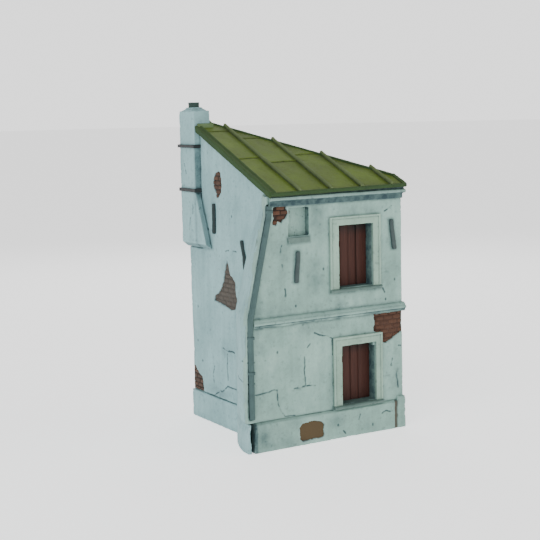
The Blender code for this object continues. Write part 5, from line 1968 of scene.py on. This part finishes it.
def roof_sheet_piece(finish):
    """The sheets between the seams, with their laps and dents."""
    mesh = even_surface([node_mesh("roof_deck")], WALL_CELL)

    def carve(points, normals):
        top = smooth_step(normals[:, 2], 0.5, 0.8)
        wander = 0.15 * noise(points, 3.0, 17)
        _, _, lift = sheet_at(points[:, 0], points[:, 1] + wander)
        moves = np.zeros_like(points)
        dents = 0.16 * noise(points * (1.0, 0.6, 0.0), 9.0, 19)
        moves[:, 2] += top * (lift + dents)
        _, _, before = sheet_at(points[:, 0], points[:, 1] + wander + 0.4)
        # The laps' steps, the bays' sides along the seams, the strip under the eave and the deck's sides and
        # underside are darkened: wash and painted shade; the rear corner's darkening is weathering
        lap = np.clip((before - lift) / LAP_STEP * 1.4, 0.0, 1.0) * top
        seam = np.min(np.abs(points[:, :1] - np.array((*SEAM_X, -1.4, 60.0))), axis=1)
        beside = 0.55 * np.exp(-(np.clip(seam - 0.45, 0.0, 9.0) / 0.8) ** 1.3)
        rear = 0.5 * smooth_step(points[:, 0] + points[:, 1], 54.0, 64.0)
        rear = rear * smooth_step(noise(points, 6.0, 21), -0.6, 0.5)
        eave = 0.3 * np.exp(-((points[:, 1] + 1.6) / 1.4) ** 2)
        return moves, (0.9 * lap + beside + rear + eave) * top + 0.5 * (1.0 - top), np.zeros(len(points))

    mesh = weathered(mesh, WALL_CELL, seed=221, waves=0.05, grain=0.02, chips=0.2, carve=carve, keep=0.55)
    store(mesh, "tone", sheet_tone(points_of(mesh)))
    finish_piece("roof_sheets", mesh, finish, "roof", ["roof_deck"])


def roof_seam_pieces(finish):
    """Standing seams between the bays."""
    for index, x in enumerate(SEAM_X):
        front, rear = -2.0, ROOF_BACK_SUM + 0.9 - x
        middle = SEAM_HEIGHT / 2 - 0.1
        line = [on_roof(x, front, middle - 0.35), on_roof(x, front + 1.6, middle)]
        line += [(x + 0.08 * math.sin(1.7 * y + index), y, roof_height(x, y, middle))
                 for y in np.linspace(front + 4.0, rear - 1.5, 14)]
        line.append(on_roof(x, rear, middle + 0.12))
        mesh = swept([line], finish, width=1.15, height=SEAM_HEIGHT + 0.2, rounding=0.42, bend_radius=0.0,
                     step=0.5, unevenness=0.14)
        # The seams darken at their foot on the sheet: painted shade
        wash_and_shade_by(mesh, 0.5, near=("roof_deck",), reach=1.2, strength=0.8, tone=0.2)
        finish_piece(f"standing_seam_{index + 1}", mesh, finish, "roof",
                     [f"roof_seam_{index + 1}"])


def edge_strip(name, start, end, section):
    """A folded edge strip: a section carried from one place to another.

    The section's points are sideways and upwards from the line, in mm.
    """
    start, end = np.array(start), np.array(end)
    run = end - start
    sideways = np.array((run[1], -run[0], 0.0)) / np.linalg.norm(run[:2])
    rings = []
    for share in np.linspace(0.0, 1.0, 9):
        spot = start + share * run
        rings.append([tuple(spot + sideways * out + np.array((0.0, 0.0, up))) for out, up in section])
    return even_surface([loft(name, rings)], FINE_CELL)


def roof_edge_pieces(settings, finish):
    """Verges, eaves strip, rear edge strip and the flashing at the chimney."""
    rear_y = house_box("verge_left")[1][1]
    fascia = ((0.45, -1.6), (0.5, 0.7), (0.25, 1.0), (-0.5, 0.95), (-1.3, 0.7), (-1.75, 1.15), (-2.3, 1.15),
              (-2.6, 0.7), (-2.6, -0.3), (-0.3, -0.3), (-0.2, -1.6))
    verge = edge_strip("verge", on_roof(ROOF_LEFT, ROOF_FRONT), on_roof(ROOF_LEFT, rear_y),
                       [(-out, up) for out, up in fascia])
    right = house_box("verge_right")[0][0] + 0.3
    right_section = ((0.35, -0.9), (0.35, 0.45), (0.1, 0.65), (-0.8, 0.55), (-1.3, 0.2), (-1.3, -0.65))
    verge_right = edge_strip("verge", on_roof(right, ROOF_FRONT),
                             on_roof(right, ROOF_BACK_SUM + 0.7 - right), right_section)
    eave_section = ((0.3, -1.15), (0.42, 0.1), (0.2, 0.4), (-0.7, 0.45), (-1.4, 0.4), (-1.4, -0.5),
                    (-0.35, -1.15))
    eaves = edge_strip("eaves", on_roof(EAVE_ENDS[0], EAVE_Y), on_roof(EAVE_ENDS[1], EAVE_Y), eave_section)
    notch_x = house_box("back_edge_trim")[0][0]
    back = ROOF_BACK_SUM + 0.9
    rear_section = ((-1.7, -0.6), (0.35, -0.8), (0.35, 0.25), (0.0, 0.38), (-1.7, 0.3))
    rear = edge_strip("rear", on_roof(REAR_EDGE_START, back - REAR_EDGE_START),
                      on_roof(notch_x, back - notch_x), rear_section)

    def shade_under_strip(points, normals):
        # Down-facing faces of the strips get painted shade
        under = 0.85 * smooth_step(-normals[:, 2], 0.2, 0.7)
        return np.zeros_like(points), under, np.zeros(len(points))

    for name, node, mesh, seed in (("verge_left_strip", "verge_left", verge, 231),
                                   ("verge_right_strip", "verge_right", verge_right, 233),
                                   ("eaves_strip", "eaves_trim", eaves, 235),
                                   ("rear_edge_strip", "back_edge_trim", rear, 237)):
        mesh = weathered(mesh, FINE_CELL, seed, waves=0.08, chips=0.15, carve=shade_under_strip, near=("roof_deck",),
                         near_reach=0.5, contact_wash_and_shade=0.15, hollow_wash_and_shade=0.3, keep=0.6)
        store_level(mesh, "tone", 0.0)
        # Upward faces of the strips are paler: painted highlight, stored in the rubbed-edge channel
        store(mesh, "edge", 0.7 * smooth_step(normals_of(mesh)[:, 2], 0.3, 0.8))
        finish_piece(name, mesh, finish, "roof", [node])

    # The flashing's paint mixes in the facade's darker copy of the render, which holds painted shade
    pale = [0.55 * roof + 0.25 * wall for roof, wall in zip(settings.roof_colour, settings.facade_shaded_colour)]
    dress_node("chimney_flashing", metal_finish("painted flashing", pale, settings.roof_shade,
                                                settings.trim_wash_and_shade, pale, roughness=0.9))


def batten_pieces(finish):
    """The battens under the deck keep their frame shape and get a planed wood finish."""
    for node in ("roof_batten_front", "roof_batten_gable", "roof_batten_rear"):
        dress_node(node, finish)


# ---------------------------------------------------------------- stage


def stage_finish():
    """Pale paper with faint fibres, a little brightened."""
    finish, nodes, links = new_finish("pale paper")
    place = nodes.new("ShaderNodeTexCoord")
    place.label = "Place on the floor"
    fibres = nodes.new("ShaderNodeTexNoise")
    fibres.label = "Faint fibres"
    fibres.inputs["Scale"].default_value = 60.0
    white = nodes.new("ShaderNodeMix")
    white.label = "Two near whites"
    white.data_type = "RGBA"
    white.inputs["A"].default_value = (0.93, 0.93, 0.93, 1.0)
    white.inputs["B"].default_value = (0.95, 0.95, 0.95, 1.0)
    shader = nodes.new("ShaderNodeBsdfPrincipled")
    shader.label = "Paper"
    shader.inputs["Roughness"].default_value = 0.9
    shader.inputs["Specular IOR Level"].default_value = 0.1
    shader.inputs["Emission Color"].default_value = (1.0, 1.0, 1.0, 1.0)
    shader.inputs["Emission Strength"].default_value = 1.15
    output = nodes.new("ShaderNodeOutputMaterial")
    output.label = "Surface"
    for index, node in enumerate((place, fibres, white, shader, output)):
        node.location = (240 * index - 700, 0)
    links.new(place.outputs["Object"], fibres.inputs["Vector"])
    links.new(fibres.outputs["Fac"], white.inputs["Factor"])
    links.new(white.outputs["Result"], shader.inputs["Base Color"])
    links.new(shader.outputs["BSDF"], output.inputs["Surface"])
    return finish


def softbox(name, place, power, colour):
    """A square soft light that looks at the house. Its place is in house millimetres."""
    lamp = bpy.data.lights.new(name, "AREA")
    lamp.size = SOFTBOX_SIZE * MM
    lamp.energy = power
    lamp.color = colour
    light = linked(name, lamp)
    light.location = to_frame(place)
    aim = Vector(to_frame(HOUSE_MIDDLE)) - light.location
    light.rotation_euler = aim.to_track_quat("-Z", "Y").to_euler()


def stage_pieces(settings):
    """Floor, lights, pale surroundings and camera."""
    shape = bmesh.new()
    bmesh.ops.create_circle(shape, cap_ends=True, segments=96, radius=FLOOR_RADIUS)
    mesh = bpy.data.meshes.new("floor")
    shape.to_mesh(mesh)
    shape.free()
    mesh.transform(Matrix.Translation((0.0, 0.0, -FLOOR_GAP)))
    mesh.materials.append(stage_finish())
    floor = linked("floor", mesh)

    world = bpy.data.worlds.new("Studio")
    world.use_nodes = True
    nodes, links = world.node_tree.nodes, world.node_tree.links
    direction = nodes.new("ShaderNodeTexCoord")
    direction.label = "Direction"
    height = nodes.new("ShaderNodeSeparateXYZ")
    height.label = "Height above the horizon"
    fade = nodes.new("ShaderNodeMapRange")
    fade.label = "As bright as the floor at the horizon"
    fade.interpolation_type = "SMOOTHSTEP"
    fade.inputs["From Min"].default_value = 0.06
    fade.inputs["From Max"].default_value = 0.35
    fade.inputs["To Min"].default_value = settings.horizon_strength
    fade.inputs["To Max"].default_value = settings.sky_strength
    background = nodes["Background"]
    background.inputs["Color"].default_value = (1.0, 1.0, 1.0, 1.0)
    for index, node in enumerate((direction, height, fade, background, nodes["World Output"])):
        node.location = (240 * index - 500, 0)
    links.new(direction.outputs["Generated"], height.inputs["Vector"])
    links.new(height.outputs["Z"], fade.inputs["Value"])
    links.new(fade.outputs["Result"], background.inputs["Strength"])
    bpy.context.scene.world = world

    softbox("key light", (-420.0, -260.0, 420.0), settings.key_power, (0.93, 0.98, 1.0))
    softbox("fill light", (420.0, -420.0, 260.0), settings.fill_power, (1.0, 0.99, 0.93))
    softbox("back light", (250.0, 450.0, 380.0), settings.fill_power, (1.0, 1.0, 1.0))

    camera = bpy.data.cameras.new("camera")
    camera.lens = settings.focal_length
    camera.sensor_width = 36.0
    camera.clip_start = 0.01
    view = linked("camera", camera)
    yaw, pitch, roll = settings.camera_yaw, settings.camera_pitch, settings.camera_roll
    turn = Matrix.Rotation(-yaw, 4, "Z") @ Matrix.Rotation(math.pi / 2 - pitch, 4, "X")
    view.matrix_world = Matrix.Translation(to_frame(CAMERA_PLACE)) @ turn @ Matrix.Rotation(-roll, 4, "Z")
    bpy.context.scene.camera = view


# ---------------------------------------------------------------- settings


def colour_property(name, description, default):
    """A colour that can be changed in the sidebar."""
    return bpy.props.FloatVectorProperty(name=name, description=description, default=default, size=3,
                                         min=0.0, max=1.0, subtype="COLOR")


class HouseColours(bpy.types.PropertyGroup):
    """Colours of the painted house."""

    render_colour: colour_property("Render", "Main paint of the walls", (0.28, 0.455, 0.465))
    render_shade: colour_property("Render shade", "Blotches in the walls' paint", (0.20, 0.335, 0.345))
    # The facade's paint and blotches are a darker, greener copy of the render's: painted shade for the less
    # lit facade
    facade_shaded_colour: colour_property("Facade", "Main paint of the facade", (0.285, 0.44, 0.385))
    facade_shaded_blotches: colour_property("Facade shade", "Blotches in the facade's paint", (0.175, 0.285, 0.25))
    surround_colour: colour_property("Surrounds", "Paint of the window surrounds", (0.285, 0.42, 0.335))
    # The seams' paint is lighter and greyer than the sheets': partly their paint, partly painted highlight on
    # their lit tops
    seam_paint_and_highlight: colour_property("Seams", "Paint of the standing seams", (0.125, 0.165, 0.065))
    strap_colour: colour_property("Straps", "Paint of the chimney's straps", (0.022, 0.026, 0.028))
    # The wash colour also paints the shade in corners, reveals and gaps
    wash_and_shade_colour: colour_property("Wash", "Dark wash in cracks and corners", (0.022, 0.05, 0.058))
    edge_colour: colour_property("Worn edges", "Dry brushing on outer edges", (0.42, 0.56, 0.56))
    bare_colour: colour_property("Bare spots", "Brown under lost render", (0.10, 0.075, 0.05))
    brick_light: colour_property("Light brick", "Palest bricks", (0.12, 0.055, 0.032))
    brick_dark: colour_property("Dark brick", "Darkest bricks", (0.05, 0.024, 0.017))
    mortar_colour: colour_property("Mortar", "Joints between the bricks", (0.036, 0.023, 0.018))
    brick_dust_colour: colour_property("Brick dust", "Dust over the bricks", (0.085, 0.085, 0.075))
    vent_colour: colour_property("Cellar vent", "Clay of the cellar vent", (0.095, 0.062, 0.028))
    wood_light: colour_property("Light wood", "Pale grain of the boards", (0.086, 0.026, 0.0165))
    wood_dark: colour_property("Dark wood", "Dark grain of the boards", (0.022, 0.007, 0.005))
    # The soot colour also paints the shadow under the windows' heads and the shade inside the pot
    soot_and_shade_colour: colour_property("Soot", "Soot on boards and pot", (0.012, 0.010, 0.009))
    roof_colour: colour_property("Roof", "Paint of the roof's sheets", (0.113, 0.174, 0.0125))
    roof_shade: colour_property("Roof shade", "Weathered patches of the roof", (0.065, 0.092, 0.013))
    trim_colour: colour_property("Roof edges", "Paint of the folded edge strips", (0.027, 0.061, 0.016))
    trim_shade: colour_property("Roof edge shade", "Darker paint of the strips", (0.017, 0.038, 0.014))
    # The strips' wash colour also paints the shade under them
    trim_wash_and_shade: colour_property("Roof edge wash", "Dark wash under the strips", (0.012, 0.025, 0.016))
    # The rubbed-metal colour also paints the highlight on the edge strips' upward faces
    roof_rub_and_highlight: colour_property("Rubbed roof", "Rubbed edges of the roof's metal", (0.105, 0.16, 0.05))
    iron_edge: colour_property("Rubbed iron", "Rubbed edges of the ironwork", (0.085, 0.13, 0.128))
    iron_colour: colour_property("Iron", "Paint of the anchors and straps", (0.038, 0.062, 0.06))
    iron_shade: colour_property("Iron shade", "Darker paint of the ironwork", (0.02, 0.034, 0.034))
    pipe_colour: colour_property("Downpipe", "Paint of the downpipe", (0.058, 0.105, 0.102))
    pipe_shade: colour_property("Downpipe shade", "Darker paint of the downpipe", (0.034, 0.066, 0.064))
    pot_colour: colour_property("Chimney pot", "Paint of the chimney pot", (0.026, 0.055, 0.045))
    batten_colour: colour_property("Battens", "Wood of the roof's battens", (0.30, 0.21, 0.12))


class HouseStage(bpy.types.PropertyGroup):
    """Light and camera."""

    sky_strength: bpy.props.FloatProperty(name="Sky", description="Light from above", default=0.35, min=0.0)
    horizon_strength: bpy.props.FloatProperty(name="Horizon", description="Light from all round",
                                              default=1.75, min=0.0)
    key_power: bpy.props.FloatProperty(name="Key light", description="Soft light at the left", default=2.0,
                                       min=0.0, unit="POWER")
    fill_power: bpy.props.FloatProperty(name="Fill light", description="Soft light at the right",
                                        default=1.0, min=0.0, unit="POWER")
    focal_length: bpy.props.FloatProperty(name="Focal length", description="Camera lens, in mm",
                                          default=85.14, min=10.0)
    camera_yaw: bpy.props.FloatProperty(name="Turn", description="Camera's turn from the facade's face",
                                        default=0.53818, subtype="ANGLE")
    camera_pitch: bpy.props.FloatProperty(name="Tilt", description="Camera's downward tilt",
                                          default=0.13348, subtype="ANGLE")
    camera_roll: bpy.props.FloatProperty(name="Roll", description="Camera's roll", default=0.02238,
                                         subtype="ANGLE")


# ---------------------------------------------------------------- operators


class MakeFacade(bpy.types.Operator):
    """Make the rendered facade wall"""

    bl_idname = "corner_house.facade"
    bl_label = "Facade wall"

    def execute(self, context):
        colours = context.scene.house_colours
        # The facade's finish is painted shade: the render's darker, greener copy
        facade_piece(render_finish(colours, "facade render", mottle=0.85, facade=True))
        return {"FINISHED"}


class MakeGable(bpy.types.Operator):
    """Make the rendered gable wall"""

    bl_idname = "corner_house.gable"
    bl_label = "Gable wall"

    def execute(self, context):
        colours = context.scene.house_colours
        gable_piece(render_finish(colours, "wall render"))
        return {"FINISHED"}


class MakeRear(bpy.types.Operator):
    """Make the plain rear wall"""

    bl_idname = "corner_house.rear"
    bl_label = "Rear wall"

    def execute(self, context):
        colours = context.scene.house_colours
        rear_piece(render_finish(colours, "wall render"))
        return {"FINISHED"}


class MakeWing(bpy.types.Operator):
    """Make the curved wing at the facade's left end"""

    bl_idname = "corner_house.wing"
    bl_label = "Corner wing"

    def execute(self, context):
        colours = context.scene.house_colours
        wing_piece(render_finish(colours, "wall render"))
        return {"FINISHED"}


class MakePlinth(bpy.types.Operator):
    """Make the base courses"""

    bl_idname = "corner_house.plinth"
    bl_label = "Plinth"

    def execute(self, context):
        colours = context.scene.house_colours
        # The front course takes the facade's darker copy of the render, which is painted shade
        front = render_finish(colours, "facade plinth render", share=0.97, mottle=0.9, facade=True)
        plinth_pieces(front, render_finish(colours, "gable plinth render", share=0.98, mottle=0.8))
        return {"FINISHED"}


class MakeMouldings(bpy.types.Operator):
    """Make the string course, the cornice and the blocked window's parts"""

    bl_idname = "corner_house.mouldings"
    bl_label = "Mouldings"

    def execute(self, context):
        colours = context.scene.house_colours
        # The mouldings take the facade's darker copy of the render, which is painted shade
        moulding_pieces(colours, render_finish(colours, "moulding render", share=0.98, mottle=0.5,
                                               facade=True))
        return {"FINISHED"}


class MakeWindows(bpy.types.Operator):
    """Make the window surrounds and sills"""

    bl_idname = "corner_house.windows"
    bl_label = "Window surrounds"

    def execute(self, context):
        colours = context.scene.house_colours
        shade = dimmed(colours.surround_colour, 0.7)
        paints = (colours.surround_colour, shade, colours.wash_and_shade_colour, colours.edge_colour,
                  colours.bare_colour)
        finish = finish_named("surround render", lambda name: painted_plaster(name, paints, 0.6))
        window_pieces(colours, finish)
        return {"FINISHED"}


class MakeShutters(bpy.types.Operator):
    """Make the boards of the closed shutters"""

    bl_idname = "corner_house.shutters"
    bl_label = "Shutter boards"

    def execute(self, context):
        colours = context.scene.house_colours
        wood = (colours.wood_light, colours.wood_dark, colours.soot_and_shade_colour)
        shutter_pieces(finish_named("stained boards", lambda name: stained_boards(name, wood)))
        return {"FINISHED"}


class MakeBrickwork(bpy.types.Operator):
    """Make the brickwork behind the lost render and the cellar vent"""

    bl_idname = "corner_house.brickwork"
    bl_label = "Brickwork"

    def execute(self, context):
        colours = context.scene.house_colours
        brick = (colours.brick_light, colours.brick_dark, colours.mortar_colour, colours.brick_dust_colour)
        brick_pieces(colours, finish_named("old brick", lambda name: old_brick(name, brick)))
        return {"FINISHED"}


class MakeAnchors(bpy.types.Operator):
    """Make the wall anchors"""

    bl_idname = "corner_house.anchors"
    bl_label = "Wall anchors"

    def execute(self, context):
        colours = context.scene.house_colours
        anchor_pieces(colours, metal_finish("painted iron", colours.iron_colour, colours.iron_shade,
                                            colours.wash_and_shade_colour, colours.iron_edge,
                                            patch_scale=400.0))
        return {"FINISHED"}


class MakeChimney(bpy.types.Operator):
    """Make the chimney: corbel, stack, mortar bed and pot"""

    bl_idname = "corner_house.chimney"
    bl_label = "Chimney"

    def execute(self, context):
        colours = context.scene.house_colours
        chimney_pieces(colours, render_finish(colours, "chimney render", mottle=0.6))
        return {"FINISHED"}


class MakeStraps(bpy.types.Operator):
    """Make the iron straps round the chimney"""

    bl_idname = "corner_house.straps"
    bl_label = "Chimney straps"

    def execute(self, context):
        colours = context.scene.house_colours
        shade = dimmed(colours.strap_colour, 0.6)
        strap_pieces(metal_finish("blackened straps", colours.strap_colour, shade,
                                  colours.soot_and_shade_colour, colours.iron_colour, patch_scale=400.0))
        return {"FINISHED"}


class MakePipe(bpy.types.Operator):
    """Make the downpipe and its collars"""

    bl_idname = "corner_house.pipe"
    bl_label = "Downpipe"

    def execute(self, context):
        colours = context.scene.house_colours
        pipe_pieces(metal_finish("painted pipe", colours.pipe_colour, colours.pipe_shade,
                                 colours.wash_and_shade_colour, colours.pipe_colour, roughness=0.8,
                                 patch_scale=300.0))
        return {"FINISHED"}


class MakeRoofSheets(bpy.types.Operator):
    """Make the roof's sheets and standing seams"""

    bl_idname = "corner_house.roof_sheets"
    bl_label = "Roof sheets and seams"

    def execute(self, context):
        colours = context.scene.house_colours
        finish = metal_finish("painted roof sheet", colours.roof_colour, colours.roof_shade,
                              dimmed(colours.roof_shade, 0.35), colours.roof_rub_and_highlight,
                              roughness=0.6, mottle=0.6)
        roof_sheet_piece(finish)
        shade = dimmed(colours.seam_paint_and_highlight, 0.65)
        roof_seam_pieces(metal_finish("painted seams", colours.seam_paint_and_highlight, shade,
                                      colours.trim_wash_and_shade, colours.roof_rub_and_highlight, roughness=0.9))
        return {"FINISHED"}


class MakeRoofEdges(bpy.types.Operator):
    """Make the roof's edge strips, flashing and battens"""

    bl_idname = "corner_house.roof_edges"
    bl_label = "Roof edges"

    def execute(self, context):
        colours = context.scene.house_colours
        trim = metal_finish("painted roof edge", colours.trim_colour, colours.trim_shade,
                            colours.trim_wash_and_shade, colours.roof_rub_and_highlight, roughness=0.9, patch_scale=160.0)
        roof_edge_pieces(colours, trim)
        wood = (colours.batten_colour, dimmed(colours.batten_colour, 0.5), colours.wood_dark)
        batten_pieces(finish_named("planed battens", lambda name: stained_boards(name, wood)))
        return {"FINISHED"}


class MakeStage(bpy.types.Operator):
    """Make the floor, the lights and the camera"""

    bl_idname = "corner_house.stage"
    bl_label = "Stage"

    def execute(self, context):
        stage_pieces(context.scene.house_stage)
        return {"FINISHED"}


class HousePanel(bpy.types.Panel):
    """Lists the house's pieces, colours and stage in the sidebar"""

    bl_idname = "VIEW3D_PT_corner_house"
    bl_label = "Corner house"
    bl_space_type = "VIEW_3D"
    bl_region_type = "UI"
    bl_category = "House"

    def draw(self, context):
        for operator in OPERATORS:
            self.layout.operator(operator.bl_idname)
        for group in (context.scene.house_colours, context.scene.house_stage):
            column = self.layout.column()
            for name in type(group).__annotations__:
                column.prop(group, name)


OPERATORS = (MakeStage, MakeFacade, MakeGable, MakeRear, MakeWing, MakePlinth, MakeMouldings, MakeWindows,
             MakeShutters, MakeBrickwork, MakeAnchors, MakeChimney, MakeStraps, MakePipe, MakeRoofSheets,
             MakeRoofEdges)
CLASSES = (HouseColours, HouseStage, *OPERATORS, HousePanel)


def register():
    for made in CLASSES:
        bpy.utils.register_class(made)
    bpy.types.Scene.house_colours = bpy.props.PointerProperty(type=HouseColours)
    bpy.types.Scene.house_stage = bpy.props.PointerProperty(type=HouseStage)


def unregister():
    del bpy.types.Scene.house_stage
    del bpy.types.Scene.house_colours
    for made in reversed(CLASSES):
        bpy.utils.unregister_class(made)


def main():
    """Make the whole house, piece by piece."""
    register()
    bpy.ops.corner_house.stage()
    bpy.ops.corner_house.facade()
    bpy.ops.corner_house.gable()
    bpy.ops.corner_house.rear()
    bpy.ops.corner_house.wing()
    bpy.ops.corner_house.plinth()
    bpy.ops.corner_house.mouldings()
    bpy.ops.corner_house.windows()
    bpy.ops.corner_house.shutters()
    bpy.ops.corner_house.brickwork()
    bpy.ops.corner_house.anchors()
    bpy.ops.corner_house.chimney()
    bpy.ops.corner_house.straps()
    bpy.ops.corner_house.pipe()
    bpy.ops.corner_house.roof_sheets()
    bpy.ops.corner_house.roof_edges()


if __name__ == "__main__":
    main()
